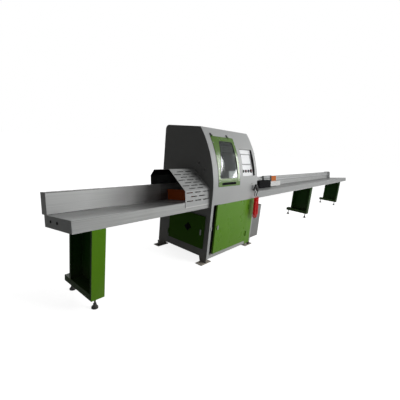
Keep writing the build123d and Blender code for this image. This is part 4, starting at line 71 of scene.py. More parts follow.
forward = Vector((math.sin(YAW) * math.cos(PITCH), math.cos(YAW) * math.cos(PITCH), -math.sin(PITCH)))
level_right = Vector((math.cos(YAW), -math.sin(YAW), 0))
level_up = level_right.cross(forward)
camera_right = math.cos(ROLL) * level_right + math.sin(ROLL) * level_up
camera_up = -math.sin(ROLL) * level_right + math.cos(ROLL) * level_up
bpy.ops.object.camera_add()
camera = bpy.context.object
camera.name = "photo_camera"
camera.data.sensor_width = SENSOR_WIDTH
camera.data.sensor_fit = "HORIZONTAL"
camera.data.lens = SENSOR_WIDTH * FOCAL_PIXELS / PHOTO_PIXELS
camera.data.clip_end = FAR_LIMIT
turn = Matrix((camera_right, camera_up, -forward)).transposed()
camera.matrix_world = Matrix.Translation(EYE) @ turn.to_4x4()
bpy.context.scene.camera = camera
print("lens", round(camera.data.lens, 2), "mm")

# %% [markdown]
# ## Node helpers
# The world, the floor and every finish are built from a few kinds of node. Each helper adds one or
# two of them to a tree, feeds them with sockets or plain values, and returns the resulting socket.


# %% Values and masks
def feed(tree, value, socket):
    """Links a socket to another one, or sets it to a plain value."""
    if isinstance(value, bpy.types.NodeSocket):
        tree.links.new(value, socket)
    else:
        socket.default_value = value


def calculate(tree, operation, *values, clamp=False):
    """The result of one Math node."""
    maths = tree.nodes.new("ShaderNodeMath")
    maths.operation = operation
    maths.use_clamp = clamp
    for value, socket in zip(values, maths.inputs):
        feed(tree, value, socket)
    return maths.outputs[0]


def times(tree, product, *others):
    """The product of two or more values."""
    for other in others:
        product = calculate(tree, "MULTIPLY", product, other)
    return product


def spread(tree, value, low, high, start=0.3, end=0.7, steps="LINEAR"):
    """Maps the range from start to end, by default the middle of a noise pattern, to new limits."""
    ramp = tree.nodes.new("ShaderNodeMapRange")
    ramp.interpolation_type = steps
    tree.links.new(value, ramp.inputs["Value"])
    for label, limit in (("From Min", start), ("From Max", end), ("To Min", low), ("To Max", high)):
        ramp.inputs[label].default_value = limit
    return ramp.outputs["Result"]


def mask(tree, value, start=0.3, end=0.7):
    """A share that goes from 0 to 1 while a value goes from start to end."""
    return spread(tree, value, 0.0, 1.0, start, end)


# %% Coordinates and colours
def axes(tree, kind="Object"):
    """The X, Y and Z of a texture coordinate."""
    place = tree.nodes.new("ShaderNodeTexCoord")
    parts = tree.nodes.new("ShaderNodeSeparateXYZ")
    tree.links.new(place.outputs[kind], parts.inputs[0])
    return parts.outputs


def mapped(tree, scale, location=(0, 0, 0)):
    """Object coordinates, stretched along the axes and then moved."""
    place = tree.nodes.new("ShaderNodeTexCoord")
    mapping = tree.nodes.new("ShaderNodeMapping")
    mapping.inputs["Scale"].default_value = scale
    mapping.inputs["Location"].default_value = location
    tree.links.new(place.outputs["Object"], mapping.inputs["Vector"])
    return mapping.outputs["Vector"]


def blend(tree, share, first, second):
    """Mixes two colours, each a socket or three numbers, by a share."""
    mix = tree.nodes.new("ShaderNodeMix")
    mix.data_type = "RGBA"
    tree.links.new(share, mix.inputs["Factor"])
    for label, colour in (("A", first), ("B", second)):
        socket = next(one for one in mix.inputs if one.name == label and one.type == "RGBA")
        feed(tree, (*colour, 1) if isinstance(colour, tuple) else colour, socket)
    return next(one for one in mix.outputs if one.type == "RGBA")


def plain(name, **values):
    """A material with constant values on its shader, named as the sockets are."""
    material = bpy.data.materials.new(name)
    material.use_nodes = True
    tune(material, **values)
    return material


def tune(material, **values):
    """Sets shader sockets of a material to constants: specular_ior_level is Specular IOR Level."""
    sockets = material.node_tree.nodes["Principled BSDF"].inputs
    for label, value in values.items():
        sockets[label.replace("_", " ").title().replace("Ior", "IOR")].default_value = value


# %% [markdown]
# ## Light and floor
# The photograph was cut out on white, so the camera and clear materials see the world and the floor
# as full white. Shiny surfaces see them dimmer: brighter towards the front and the infeed end, dark
# elsewhere. A small even share lights the shadows. One large soft lamp at the front right does most
# of the work, so the faces that look left fall into shade as in the picture, and two tall, narrow
# lamps give the glare on the hatch. The floor keeps a faint shadow near the machine, and a dark
# sheet inside the cabinet's outline is painted shadow under the machine.

# %% World
SMOOTH = "SMOOTHSTEP"
EVEN_SHARE = 0.125
# Mirrored brightness from and to, while the direction of the ray goes from and to.
END_WALL = (0.10, 0.72, 0.78, 0.97)
FRONT_WALL = (0.0, 0.42, -0.30, -0.80)

bpy.context.scene.view_settings.view_transform = "Standard"
world = bpy.data.worlds.new("studio_white")
bpy.context.scene.world = world
world.use_nodes = True
sky = world.node_tree
backdrop = sky.nodes["Background"]
backdrop.inputs["Color"].default_value = (1, 1, 1, 1)
rays = sky.nodes.new("ShaderNodeLightPath").outputs
seen = calculate(sky, "ADD", rays["Is Camera Ray"], rays["Is Transmission Ray"], clamp=True)
heading = axes(sky, "Generated")
end_wall = spread(sky, heading["X"], *END_WALL, SMOOTH)
front_wall = spread(sky, heading["Y"], *FRONT_WALL, SMOOTH)
walls = calculate(sky, "ADD", end_wall, front_wall)
mirrored = calculate(sky, "MULTIPLY_ADD", rays["Is Glossy Ray"], walls, EVEN_SHARE)
feed(sky, calculate(sky, "MAXIMUM", seen, mirrored), backdrop.inputs["Strength"])
print("world", world.name)


# %% Lamps
def studio_lamp(name, place, target, size, power, height=None, lean=0):
    """A large lamp that looks at a point of the machine, square unless a height is given."""
    bpy.ops.object.light_add(type="AREA", location=place)
    lamp = bpy.context.object
    lamp.name = name
    lamp.data.shape = "RECTANGLE"
    lamp.data.size = size
    lamp.data.size_y = height or size
    lamp.data.energy = power
    aim = (Vector(target) - Vector(place)).to_track_quat("-Z", "Y")
    lamp.rotation_euler = (aim @ Quaternion((0, 0, 1), math.radians(lean))).to_euler()


studio_lamp("front_lamp", (3.2, -6.8, 4.2), (0.2, 0.0, 0.9), size=3.5, power=300)
studio_lamp("near_window", (7.0, -5.36, 3.2), (-0.45, -0.4, 1.25), size=0.30, power=60, height=3.4, lean=-22)
studio_lamp("far_window", (7.0, -4.20, 3.0), (0.0, -0.4, 1.25), size=0.28, power=50, height=3.0, lean=-23)
studio_lamp("back_lamp", (2.0, 8.0, 3.6), (0.5, 0.4, 0.9), size=4.0, power=140)
studio_lamp("top_lamp", (0.5, 0.5, 6.5), (0.5, 0.0, 0.5), size=4.0, power=40)

# %% Floor
FLOOR_SIZE = 120
FLOOR_HEIGHT = -0.0005
# Mirrored brightness from and to, while the place on Y goes from and to.
FLOOR_SHINE = (0.05, 0.34, -0.8, -2.4)
# Glow from and to, while the distance from the machine, an oval along it, goes from and to.
FLOOR_GLOW = (0.86, 1.0, 2.5, 5.0)
OVAL_SCALE = (0.5, 1, 1)
OVAL_SHIFT = (-1.15, 0, 0)

bpy.ops.mesh.primitive_plane_add(size=FLOOR_SIZE, location=(0, 0, FLOOR_HEIGHT))
floor = bpy.context.object
floor.name = "studio_floor"
floor_paint = plain("studio_floor_white", base_color=(0.60, 0.60, 0.60, 1), roughness=0.9, specular_ior_level=0.1)
tree = floor_paint.node_tree
rays = tree.nodes.new("ShaderNodeLightPath").outputs
seen = calculate(tree, "ADD", rays["Is Camera Ray"], rays["Is Transmission Ray"])
mirrored = times(tree, rays["Is Glossy Ray"], spread(tree, axes(tree)["Y"], *FLOOR_SHINE, SMOOTH))
distance = tree.nodes.new("ShaderNodeVectorMath")
distance.operation = "LENGTH"
feed(tree, mapped(tree, OVAL_SCALE, OVAL_SHIFT), distance.inputs[0])
white = spread(tree, distance.outputs["Value"], *FLOOR_GLOW)
glow = tree.nodes.new("ShaderNodeEmission")
feed(tree, calculate(tree, "MULTIPLY_ADD", seen, white, mirrored), glow.inputs["Strength"])
both = tree.nodes.new("ShaderNodeAddShader")
feed(tree, tree.nodes["Principled BSDF"].outputs[0], both.inputs[0])
feed(tree, glow.outputs[0], both.inputs[1])
feed(tree, both.outputs[0], tree.nodes["Material Output"].inputs["Surface"])
floor.data.materials.append(floor_paint)

# %% Painted shadow on the floor inside the cabinet
# A dark sheet under the cabinet is painted shadow.
bpy.ops.mesh.primitive_plane_add(size=1, location=(0.09, 0.01, 0.0004))
shadow_sheet = bpy.context.object
shadow_sheet.name = "dark_floor_under_cabinet"
shadow_sheet.scale = (0.82, 0.58, 1)
shadow_sheet.data.materials.append(plain("dark_floor", base_color=(0.02, 0.02, 0.02, 1), roughness=0.9))
print("stage", floor.name, shadow_sheet.name)

# %% [markdown]
# ## Shared surface effects
# Sprayed paint, brushed steel and moulded plastic each appear on many pieces. Each effect is a node
# group with named inputs, built once: its colour goes in first, and its relief comes out last. All
# of them read Object coordinates, because the pieces sit at the origin and a pattern then keeps its
# size in metres.

# %% Group helpers
FLOAT = "NodeSocketFloat"
COLOUR = "NodeSocketColor"
VECTOR = "NodeSocketVector"
EDGE_SAMPLES = 4
EDGE_TURN = (0.99, 0.86)


def open_group(name, inputs, outputs):
    """An empty node group, with the sockets that bring values in and those that put results out."""
    group = bpy.data.node_groups.new(name, "ShaderNodeTree")
    for label, kind, value in inputs:
        socket = group.interface.new_socket(label, in_out="INPUT", socket_type=kind)
        socket.default_value = value
    for label, kind in outputs:
        group.interface.new_socket(label, in_out="OUTPUT", socket_type=kind)
    return group, group.nodes.new("NodeGroupInput").outputs, group.nodes.new("NodeGroupOutput").inputs


def put_out(group, sockets, **results):
    """Links results to the outputs of a group, by name."""
    for label, result in results.items():
        group.links.new(result, sockets[label])


def noise(group, scale, detail, stretch=(1, 1, 1)):
    """A noise texture on Object coordinates, stretched along the axes."""
    pattern = group.nodes.new("ShaderNodeTexNoise")
    pattern.inputs["Scale"].default_value = scale
    pattern.inputs["Detail"].default_value = detail
    group.links.new(mapped(group, stretch), pattern.inputs["Vector"])
    return pattern.outputs["Fac"]


def near_edge(group, radius):
    """A mask along the edges of a piece, where a rounded normal turns away from the face."""
    rounded = group.nodes.new("ShaderNodeBevel")
    rounded.samples = EDGE_SAMPLES
    rounded.inputs["Radius"].default_value = radius
    facing = group.nodes.new("ShaderNodeNewGeometry")
    turned = group.nodes.new("ShaderNodeVectorMath")
    turned.operation = "DOT_PRODUCT"
    group.links.new(rounded.outputs["Normal"], turned.inputs[0])
    group.links.new(facing.outputs["Normal"], turned.inputs[1])
    return mask(group, turned.outputs["Value"], *EDGE_TURN)


# %% Sprayed paint
GRIME = (0.05, 0.05, 0.05)
SAWDUST = (0.36, 0.31, 0.24)
BARE_EDGE = (0.42, 0.42, 0.41)
DUST_HEIGHT = 0.35

film, film_in, film_out = open_group(
    "sprayed_paint_film",
    (("Paint", COLOUR, (0.5, 0.5, 0.5, 1)), ("Mottle", FLOAT, 0.10), ("Dust", FLOAT, 0.25),
     ("Gloss", FLOAT, 0.35), ("Wear", FLOAT, 0.5)),
    (("Colour", COLOUR), ("Roughness", FLOAT), ("Peel", FLOAT)),
)
cloud = times(film, mask(film, noise(film, 2.2, 5)), film_in["Mottle"])
mottled = blend(film, cloud, film_in["Paint"], GRIME)
near_floor = spread(film, axes(film)["Z"], 1.0, 0.0, 0.0, DUST_HEIGHT)
streaks = mask(film, noise(film, 9.0, 4, (1, 1, 0.25)))
dusty = blend(film, times(film, near_floor, streaks, film_in["Dust"]), mottled, SAWDUST)
chips = mask(film, noise(film, 60.0, 5), 0.42, 0.60)
worn = blend(film, times(film, near_edge(film, 0.003), chips, film_in["Wear"]), dusty, BARE_EDGE)
wiped = calculate(film, "ADD", film_in["Gloss"], spread(film, noise(film, 6.0, 3), -0.06, 0.10))
put_out(film, film_out, Colour=worn, Roughness=wiped, Peel=noise(film, 420.0, 2))

# %% Brushed steel
SCRATCH_TONE = (0.22, 0.225, 0.23)
STAIN_TONE = (0.30, 0.28, 0.25)
# A near-white tone for a painted highlight along steel edges.
EDGE_TONE = (0.9, 0.9, 0.9)

grain, grain_in, grain_out = open_group(
    "brushed_steel_grain",
    (("Steel", COLOUR, (0.55, 0.56, 0.57, 1)), ("Scratches", FLOAT, 0.35), ("Gloss", FLOAT, 0.30)),
    (("Colour", COLOUR), ("Roughness", FLOAT), ("Scratch", FLOAT)),
)
lines = noise(grain, 1.0, 2, (1.5, 140, 140))
lined = blend(grain, times(grain, mask(grain, lines), grain_in["Scratches"]), grain_in["Steel"], SCRATCH_TONE)
stained = blend(grain, times(grain, mask(grain, noise(grain, 3.0, 5)), 0.10), lined, STAIN_TONE)
# Steel edges are lightened towards near white: a painted highlight.
polished = blend(grain, times(grain, near_edge(grain, 0.004), 0.5), stained, EDGE_TONE)
rubbed = calculate(grain, "ADD", grain_in["Gloss"], spread(grain, noise(grain, 5.0, 4), -0.02, 0.05))
put_out(grain, grain_out, Colour=polished, Roughness=rubbed, Scratch=lines)

# %% Moulded plastic
SCUFF_TONE = (0.45, 0.44, 0.42)

skin, skin_in, skin_out = open_group(
    "moulded_plastic_skin",
    (("Plastic", COLOUR, (0.05, 0.05, 0.05, 1)), ("Scuff", FLOAT, 0.2), ("Gloss", FLOAT, 0.45)),
    (("Colour", COLOUR), ("Roughness", FLOAT), ("Texture", FLOAT)),
)
scuffs = times(skin, mask(skin, noise(skin, 35.0, 6), 0.5, 0.75), skin_in["Scuff"])
scuffed = blend(skin, scuffs, skin_in["Plastic"], SCUFF_TONE)
handled = calculate(skin, "ADD", skin_in["Gloss"], spread(skin, noise(skin, 14.0, 3), -0.05, 0.10))
put_out(skin, skin_out, Colour=scuffed, Roughness=handled, Texture=noise(skin, 900.0, 2))

# %% Box-shaped mask
zone, zone_in, zone_out = open_group(
    "masked_box_zone", (("Low", VECTOR, (0, 0, 0)), ("High", VECTOR, (1, 1, 1))), (("Mask", FLOAT),),
)
place = axes(zone)
sides = []
for label, operation in (("Low", "GREATER_THAN"), ("High", "LESS_THAN")):
    limit = zone.nodes.new("ShaderNodeSeparateXYZ")
    zone.links.new(zone_in[label], limit.inputs[0])
    sides += [calculate(zone, operation, place[axis], limit.outputs[axis]) for axis in "XYZ"]
put_out(zone, zone_out, Mask=times(zone, *sides))
print("surface groups", [group.name for group in bpy.data.node_groups])

# %% [markdown]
# ## Finishes
# Every finish is one of the effects with its own colour and values. Some pieces have more than one
# colour: a box-shaped mask, measured in metres on the machine, lays another colour over the first.
# Faces that lie in deep shade in the photograph get a darker tone in the same way.

# %% Finish helpers
RELIEF_DEPTH = 0.0004


def finish(name, group, colour, bump, metallic=0.0, shine=0.5, **values):
    """A material whose colour, roughness and bump come from one of the groups."""
    material = plain(name, metallic=metallic, specular_ior_level=shine)
    nodes = material.node_tree.nodes
    links = material.node_tree.links
    shader = nodes["Principled BSDF"]
    surface = nodes.new("ShaderNodeGroup")
    surface.node_tree = group
    surface.inputs[0].default_value = (*colour, 1)
    for label, value in values.items():
        surface.inputs[label.capitalize()].default_value = value
    relief = nodes.new("ShaderNodeBump")
    relief.inputs["Strength"].default_value = bump
    relief.inputs["Distance"].default_value = RELIEF_DEPTH
    links.new(surface.outputs["Colour"], shader.inputs["Base Color"])
    links.new(surface.outputs["Roughness"], shader.inputs["Roughness"])
    links.new(surface.outputs[-1], relief.inputs["Height"])
    links.new(relief.outputs["Normal"], shader.inputs["Normal"])
    return material


def sprayed(name, colour, mottle=0.06, dust=0.25, gloss=0.35, shine=0.4, wear=0.5):
    """Sprayed machine paint."""
    return finish(name, film, colour, 0.08, shine=shine, mottle=mottle, dust=dust, gloss=gloss, wear=wear)


def steel(name, colour, scratches=0.35, gloss=0.30, metallic=1.0, shine=0.5):
    """Bare or plated steel with a drawn grain."""
    return finish(name, grain, colour, 0.02, metallic, shine, scratches=scratches, gloss=gloss)


def moulded(name, colour, scuff=0.15, gloss=0.45, shine=0.4):
    """Moulded plastic or rubber."""
    return finish(name, skin, colour, 0.10, shine=shine, scuff=scuff, gloss=gloss)


# %% Zone helpers
UPWARD = (0.85, 0.95)


def colour_socket(material):
    """The socket that takes the colour of a finish, the first one of its surface group."""
    surface = next(one for one in material.node_tree.nodes if one.type == "GROUP" and "Gloss" in one.inputs)
    return surface.inputs[0]


def box_zone(tree, low, high):
    """A mask that is 1 inside a box of the machine."""
    area = tree.nodes.new("ShaderNodeGroup")
    area.node_tree = zone
    area.inputs["Low"].default_value = low
    area.inputs["High"].default_value = high
    return area.outputs["Mask"]


def zoned(material, **zones):
    """Lays named zones over a finish, each with a colour, a low corner and a high corner."""
    tree = material.node_tree
    socket = colour_socket(material)
    colour = tuple(socket.default_value[:3])
    for label, (paint, low, high) in zones.items():
        colour = blend(tree, box_zone(tree, low, high), colour, paint)
        colour.node.label = label.replace("_", " ")
    tree.links.new(colour, socket)


def dimmed_along(material, dark, low, high, start, end, top_only=False):
    """Fades a zoned finish inside a box to a darker tone along the machine, between two places on X: painted shade.
    """
    tree = material.node_tree
    socket = colour_socket(material)
    share = times(tree, box_zone(tree, low, high), mask(tree, axes(tree)["X"], start, end))
    if top_only:
        share = times(tree, share, mask(tree, axes(tree, "Normal")["Z"], *UPWARD))
    tree.links.new(blend(tree, share, socket.links[0].from_socket, dark), socket)


def shaded_hood(material, outside, front, inside):
    """Paints light on the hood's upright front, paints shade on its top by the cabinet, and paints black shade on
    its inside and slots.
    """
    tree = material.node_tree
    facing = axes(tree, "Normal")
    place = axes(tree)
    near_cabinet = mask(tree, place["X"], -0.86, -0.60)
    high_up = spread(tree, place["Z"], 0.0, 0.85, 0.98, 1.12)
    shadow_tone = tuple(0.2 * part for part in outside)
    colour = blend(tree, times(tree, near_cabinet, high_up), outside, shadow_tone)
    # The upright front gets a paler gray: painted light.
    colour = blend(tree, mask(tree, place["Y"], -0.4162, -0.4172), colour, front)
    # Undersides, inside walls and slot walls get the inside tone: painted shade.
    dark_faces = {
        "undersides": mask(tree, facing["Z"], -0.15, -0.25),
        "back inside": times(tree, mask(tree, facing["Y"], -0.45, -0.55), mask(tree, place["Y"], 0.10, 0.12)),
        "front inside": times(tree, mask(tree, facing["Y"], 0.25, 0.35), mask(tree, place["Y"], 0.02, 0.0)),
        "slot floors": times(tree, mask(tree, facing["Z"], *UPWARD), mask(tree, place["Y"], -0.405, -0.41)),
        "slot sides": times(tree, mask(tree, facing["X"], -0.85, -0.95), mask(tree, place["X"], -0.988, -0.985)),
    }
    for label, share in dark_faces.items():
        colour = blend(tree, share, colour, inside)
        colour.node.label = label
    tree.links.new(colour, colour_socket(material))


# %% Gray paints
GRAY = (0.49, 0.50, 0.495)
# A paler gray, painted light on the hood's upright front.
PALE_GRAY = (0.78, 0.78, 0.76)
GREEN = (0.118, 0.300, 0.008)
# The two darker greens below are painted shade.
DARK_GREEN = (0.010, 0.046, 0.003)
FAR_GREEN = (0.022, 0.058, 0.012)
BLACK = (0.010, 0.010, 0.011)
STRIP_LEFT, STRIP_RIGHT = 1.985, 2.070

gray_paint = sprayed("light_gray_machine_paint", GRAY, gloss=0.36, wear=0.35)
frame_paint = sprayed("front_frame_paint", GRAY, gloss=0.36)
zoned(
    frame_paint,
    # The gap left of the door is painted black: painted shade in the recess.
    gap_beside_door=(BLACK, (-0.511, -1, 0.107), (-0.380, 1, 0.775)),
    stile_beside_door=(GREEN, (0.3812, -1, 0.0), (0.5252, -0.4535, 0.775)),
)
recess_paint = sprayed("control_recess_paint", GRAY, gloss=0.36)
zoned(recess_paint, left_cheek=(BLACK, (0.450, -1, 1.0), (0.4885, 1, 1.6)))
hood_paint = sprayed("hood_paint", GRAY, gloss=0.36, wear=0.35)
shaded_hood(hood_paint, GRAY, PALE_GRAY, BLACK)
foot_paint = sprayed("foot_frame_paint", (0.66, 0.62, 0.55), mottle=0.25, dust=0.7, gloss=0.5)
# The rear left foot is painted black: painted shade.
zoned(foot_paint, rear_left_foot=(BLACK, (-0.70, 0.25, -0.1), (-0.40, 0.60, 0.115)))
# The side plates get a darker copy of the gray: painted shade.
side_paint = sprayed("side_plate_dark_gray_paint", (0.145, 0.146, 0.141), mottle=0.15, gloss=0.45, shine=0.3)
box_paint = sprayed("service_box_paint", (0.24, 0.245, 0.24), gloss=0.36)
zoned(box_paint, top=((0.05, 0.05, 0.05), (0.5, -1, 0.6385), (0.9, 1, 0.70)))
cast_gray = sprayed("cast_iron_gray", (0.10, 0.105, 0.11), mottle=0.35, gloss=0.55)
carriage_gray = sprayed("carriage_gray_paint", (0.42, 0.43, 0.43), gloss=0.40)
zoned(
    carriage_gray,
    end_strip=(BLACK, (STRIP_LEFT, -1, 0.0), (STRIP_RIGHT, 1, 2.0)),
    lower_strip=(BLACK, (1.70, -1, 0.945), (STRIP_RIGHT, 1, 0.952)),
    upper_strip=(BLACK, (1.70, -1, 0.995), (STRIP_RIGHT, 0.0060, 1.02)),
)
print("gray paints made, materials", len(bpy.data.materials))

# %% Coloured paints
green_paint = sprayed("grass_green_paint", GREEN, dust=0.12, gloss=0.30, shine=0.3)
hatch_paint = sprayed("hatch_green_gloss", (0.086, 0.200, 0.007), dust=0.0, gloss=0.20, shine=0.5)
tune(hatch_paint, coat_weight=0.8, coat_roughness=0.22)
leg_paint = sprayed("leg_green_paint", GREEN, dust=0.2, gloss=0.40, shine=0.12, wear=0.3)
zoned(
    leg_paint,
    # Painted shade: the infeed legs are a darker green, and the faces behind the legs' front faces are darker
    # still.
    infeed_legs=(FAR_GREEN, (3, -1, 0.0), (7, 1, 0.80)),
    behind_the_front_faces=(DARK_GREEN, (-3, -0.4195, 0.0), (7, 1, 0.80)),
)
side_door_paint = sprayed("shaded_green_paint", (0.026, 0.080, 0.003), dust=0.05, gloss=0.50, shine=0.05, wear=0.2)
orange_paint = sprayed("signal_orange_paint", (0.56, 0.135, 0.006), gloss=0.42, shine=0.2)
# The flap gets a darker copy of the signal orange: painted shade inside the hood.
flap_paint = sprayed("flap_dark_orange_paint", (0.50, 0.085, 0.006), mottle=0.2, gloss=0.5, shine=0.2)
white_paint = sprayed("white_enamel", (0.74, 0.74, 0.73), mottle=0.03, gloss=0.30)
hinge_paint = sprayed("hinge_paint", BLACK, mottle=0.2, gloss=0.40)
zoned(
    hinge_paint,
    front_door_hinge=(GREEN, (0.36, -1, 0.1), (0.43, -0.4, 0.8)),
    # The side door's hinge is painted the shade green, as the shaded side door is.
    side_door_hinge=(DARK_GREEN, (-0.60, 0.2, 0.1), (-0.55, 0.3, 0.7)),
)
print("all paints made, materials", len(bpy.data.materials))

# %% Table and fence steel
# Darker steel for painted shade on the left end faces of the outfeed table and fence.
END_STEEL = (0.26, 0.265, 0.26)
END_ZONE = -2.2635
LOW_YZ, HIGH_YZ = (-0.45, 0.5), (1, 1.0)

table_steel = steel("brushed_table_steel", (0.40, 0.41, 0.405), gloss=0.36, metallic=0.25, shine=0.12)
zoned(
    table_steel,
    front_edge=((0.68, 0.69, 0.68), (-3, -1, 0.5), (7, -0.4185, 0.9)),
    outfeed_apron=((0.52, 0.53, 0.52), (-2.262, -1, 0.5), (-0.55, -0.37, 0.842)),
    # The left end is painted darker: painted shade.
    outfeed_end=(END_STEEL, (-3, -1, 0.5), (END_ZONE, 1, 1)),
)
# The outfeed table top darkens towards the hood: painted shade.
dimmed_along(table_steel, (0.28, 0.285, 0.28), (-2.262, *LOW_YZ), (-1.0, *HIGH_YZ), -2.20, -1.85, top_only=True)
dimmed_along(table_steel, (0.16, 0.16, 0.16), (-1.85, *LOW_YZ), (-1.0, *HIGH_YZ), -1.70, -1.30, top_only=True)
fence_steel = steel("brushed_fence_steel", (0.50, 0.51, 0.505), scratches=0.30, gloss=0.40, metallic=0.4)
zoned(
    fence_steel,
    foot=((0.04, 0.04, 0.04), (-3, -1, 0.70), (7, 0.06, 0.7905)),
    # The fence inside the hood is painted near black: painted shade.
    under_the_hood=((0.05, 0.05, 0.05), (-0.955, -1, 0.5), (-0.55, 1, 1.1)),
    top_edge=((0.12, 0.12, 0.12), (END_ZONE, -1, 0.9735), (-0.955, 1, 1.1)),
    # The left end is painted darker: painted shade.
    outfeed_end=(END_STEEL, (-3, -1, 0.5), (END_ZONE, 1, 1)),
)
# The fence face darkens towards the hood: painted shade and a painted reflection of the dark hood.
dimmed_along(fence_steel, (0.21, 0.21, 0.207), (-1.95, -1, 0.5), (-0.95, 1, 1.1), -1.90, -1.42)
dimmed_along(fence_steel, (0.13, 0.13, 0.128), (-1.42, -1, 0.5), (-0.95, 1, 1.1), -1.40, -1.30)
print("table and fence made, materials", len(bpy.data.materials))

# %% Other metals
bracket_steel = steel("bracket_steel", (0.50, 0.51, 0.51), scratches=0.3, gloss=0.35, metallic=0.7)
# The left end of the bracket is painted near black: painted shade.
zoned(bracket_steel, end_block=((0.02, 0.02, 0.02), (6.358, -1, 0.80), (6.405, 1, 1.10)))
zinc_steel = steel("bright_zinc_plate", (0.62, 0.62, 0.60), scratches=0.2, gloss=0.22)
foot_steel = steel("oiled_stud_steel", (0.07, 0.068, 0.063), scratches=0.3, gloss=0.42, metallic=0.7)
zoned(
    foot_steel,
    pads=((0.02, 0.02, 0.02), (-3, -1, -0.1), (7, 1, 0.0115)),
    infeed_feet=((0.03, 0.03, 0.03), (1.5, -1, -0.1), (7, 1, 0.3)),
    # The feet and bolts under the cabinet are painted near black: painted shade.
    cabinet_feet=((0.015, 0.015, 0.015), (-0.8, -1, -0.1), (0.8, 1, 0.3)),
)
ground_steel = steel("ground_shaft_steel", (0.60, 0.61, 0.62), scratches=0.15, gloss=0.18)
blade_steel = steel("saw_blade_steel", (0.52, 0.53, 0.54), scratches=0.25, gloss=0.24)
drawn_aluminium = steel("drawn_aluminium", (0.63, 0.64, 0.65), scratches=0.2, gloss=0.34)
print("all metals made, materials", len(bpy.data.materials))

# %% Plastics and rubber
black_plastic = moulded("black_moulded_plastic", BLACK)
nose_plastic = moulded("black_pusher_plastic", (0.004, 0.004, 0.005), scuff=0.02, gloss=0.6, shine=0.05)
gray_plastic = moulded("gray_device_plastic", (0.32, 0.33, 0.34))
white_plastic = moulded("white_panel_plastic", (0.92, 0.93, 0.94), scuff=0.01, gloss=0.30)
belt_rubber = moulded("belt_rubber", (0.012, 0.012, 0.012), gloss=0.6)
hose_red = moulded("red_hose_plastic", (0.85, 0.014, 0.014), scuff=0.0, gloss=0.25, shine=0.3)
button_green = moulded("green_button_cap", (0.004, 0.035, 0.008), scuff=0.02, gloss=0.25)
button_red = moulded("red_button_cap", (0.09, 0.003, 0.003), scuff=0.02, gloss=0.25)
button_blue = moulded("blue_button_cap", (0.004, 0.010, 0.055), scuff=0.02, gloss=0.25)
smoked_pane = plain(
    "smoked_window_plastic", base_color=(0.28, 0.31, 0.30, 1), roughness=0.04, specular_ior_level=0.15,
    transmission_weight=0.92,
)
print("all finishes", len(bpy.data.materials))

# %% [markdown]
# ## Dressing the solid pieces
# One table says which pieces wear which finish. The last line prints the pieces that it leaves out,
# which are the parts of the solid hose that a smooth one replaces below.

# %% Finishes on the solid pieces
WEARS = {
    gray_paint: "cabinet_shell cabinet_back dust_chute",
    hood_paint: "hood",
    foot_paint: "cabinet_frame",
    recess_paint: "control_box",
    box_paint: "service_box",
    frame_paint: "front_frame",
    side_paint: "cabinet_left_side cabinet_right_side",
    green_paint: "front_door",
    hatch_paint: "hatch_frame",
    leg_paint: "infeed_legs outfeed_leg",
    side_door_paint: "side_door",
    orange_paint: "drive_cover",
    flap_paint: "outfeed_flap",
    white_paint: "pusher_housing",
    hinge_paint: "hinge_pins",
    table_steel: "saw_bed infeed_table outfeed_table",
    fence_steel: "infeed_fence outfeed_fence feed_rail",
    bracket_steel: "rail_end_bracket",
    zinc_steel: "door_latch gun_hook",
    foot_steel: "leveling_feet",
    ground_steel: "arbor lift_rod arbor_bearings blade_clamp",
    blade_steel: "saw_blade",
    cast_gray: "saw_arm pivot_blocks arbor_pulley motor_pulley saw_motor",
    drawn_aluminium: "feed_cylinder clamp_cylinder lift_cylinder",
    carriage_gray: "feed_carriage clamp_pad",
    black_plastic: "air_gun gun_trigger",
    nose_plastic: "pusher_nose isolator_switch hatch_handle",
    gray_plastic: "electrical_modules",
    white_plastic: "control_panel touch_screen",
    belt_rubber: "drive_belt",
    button_green: "start_button",
    button_red: "stop_button emergency_stop",
    button_blue: "reset_button",
    smoked_pane: "hatch_pane",
}


def dress(piece, material):
    """Puts one material on every slot of a piece."""
    if not piece.material_slots:
        piece.data.materials.append(material)
    for place in piece.material_slots:
        place.material = material


dressed = set()
for material, names in WEARS.items():
    for name in names.split():
        dress(node[name], material)
        dressed.add(name)
print("left undressed:", sorted(set(node) - dressed))

# %% [markdown]
# ## Modelling helpers
# Screws, rivets, seals and trim are modelled as by hand: a primitive is added, faces, edges or
# points are picked by their place or direction, and edit-mode tools shape them. A modifier is
# applied as soon as its settings are right, and the finished piece keeps its place in its mesh.


# %% Selection and edit mode
def only(piece):
    """Selects one object and makes it the active one."""
    bpy.ops.object.select_all(action="DESELECT")
    piece.select_set(True)
    bpy.context.view_layer.objects.active = piece


def mode(name):
    """Goes into edit mode or back into object mode."""
    bpy.ops.object.mode_set(mode=name)


def pick(kind, test):
    """In edit mode, selects the faces, edges or points (FACE, EDGE, VERT) that pass a test."""
    bpy.ops.mesh.select_mode(type=kind)
    bpy.ops.mesh.select_all(action="DESELECT")
    mesh = bpy.context.object.data
    shape = bmesh.from_edit_mesh(mesh)
    for one in {"FACE": shape.faces, "EDGE": shape.edges, "VERT": shape.verts}[kind]:
        one.select_set(test(one))
    bmesh.update_edit_mesh(mesh)


def extrude(*move):
    """In edit mode, extrudes the selection by a move."""
    bpy.ops.mesh.extrude_region_move(TRANSFORM_OT_translate={"value": move})


# %% Finished pieces
SMOOTH_BELOW = math.radians(35)


def apply_modifier(piece, kind, **settings):
    """Adds a modifier with its settings and applies it."""
    only(piece)
    modifier = piece.modifiers.new(kind.lower(), kind)
    for label, value in settings.items():
        setattr(modifier, label, value)
    bpy.ops.object.modifier_apply(modifier=modifier.name)


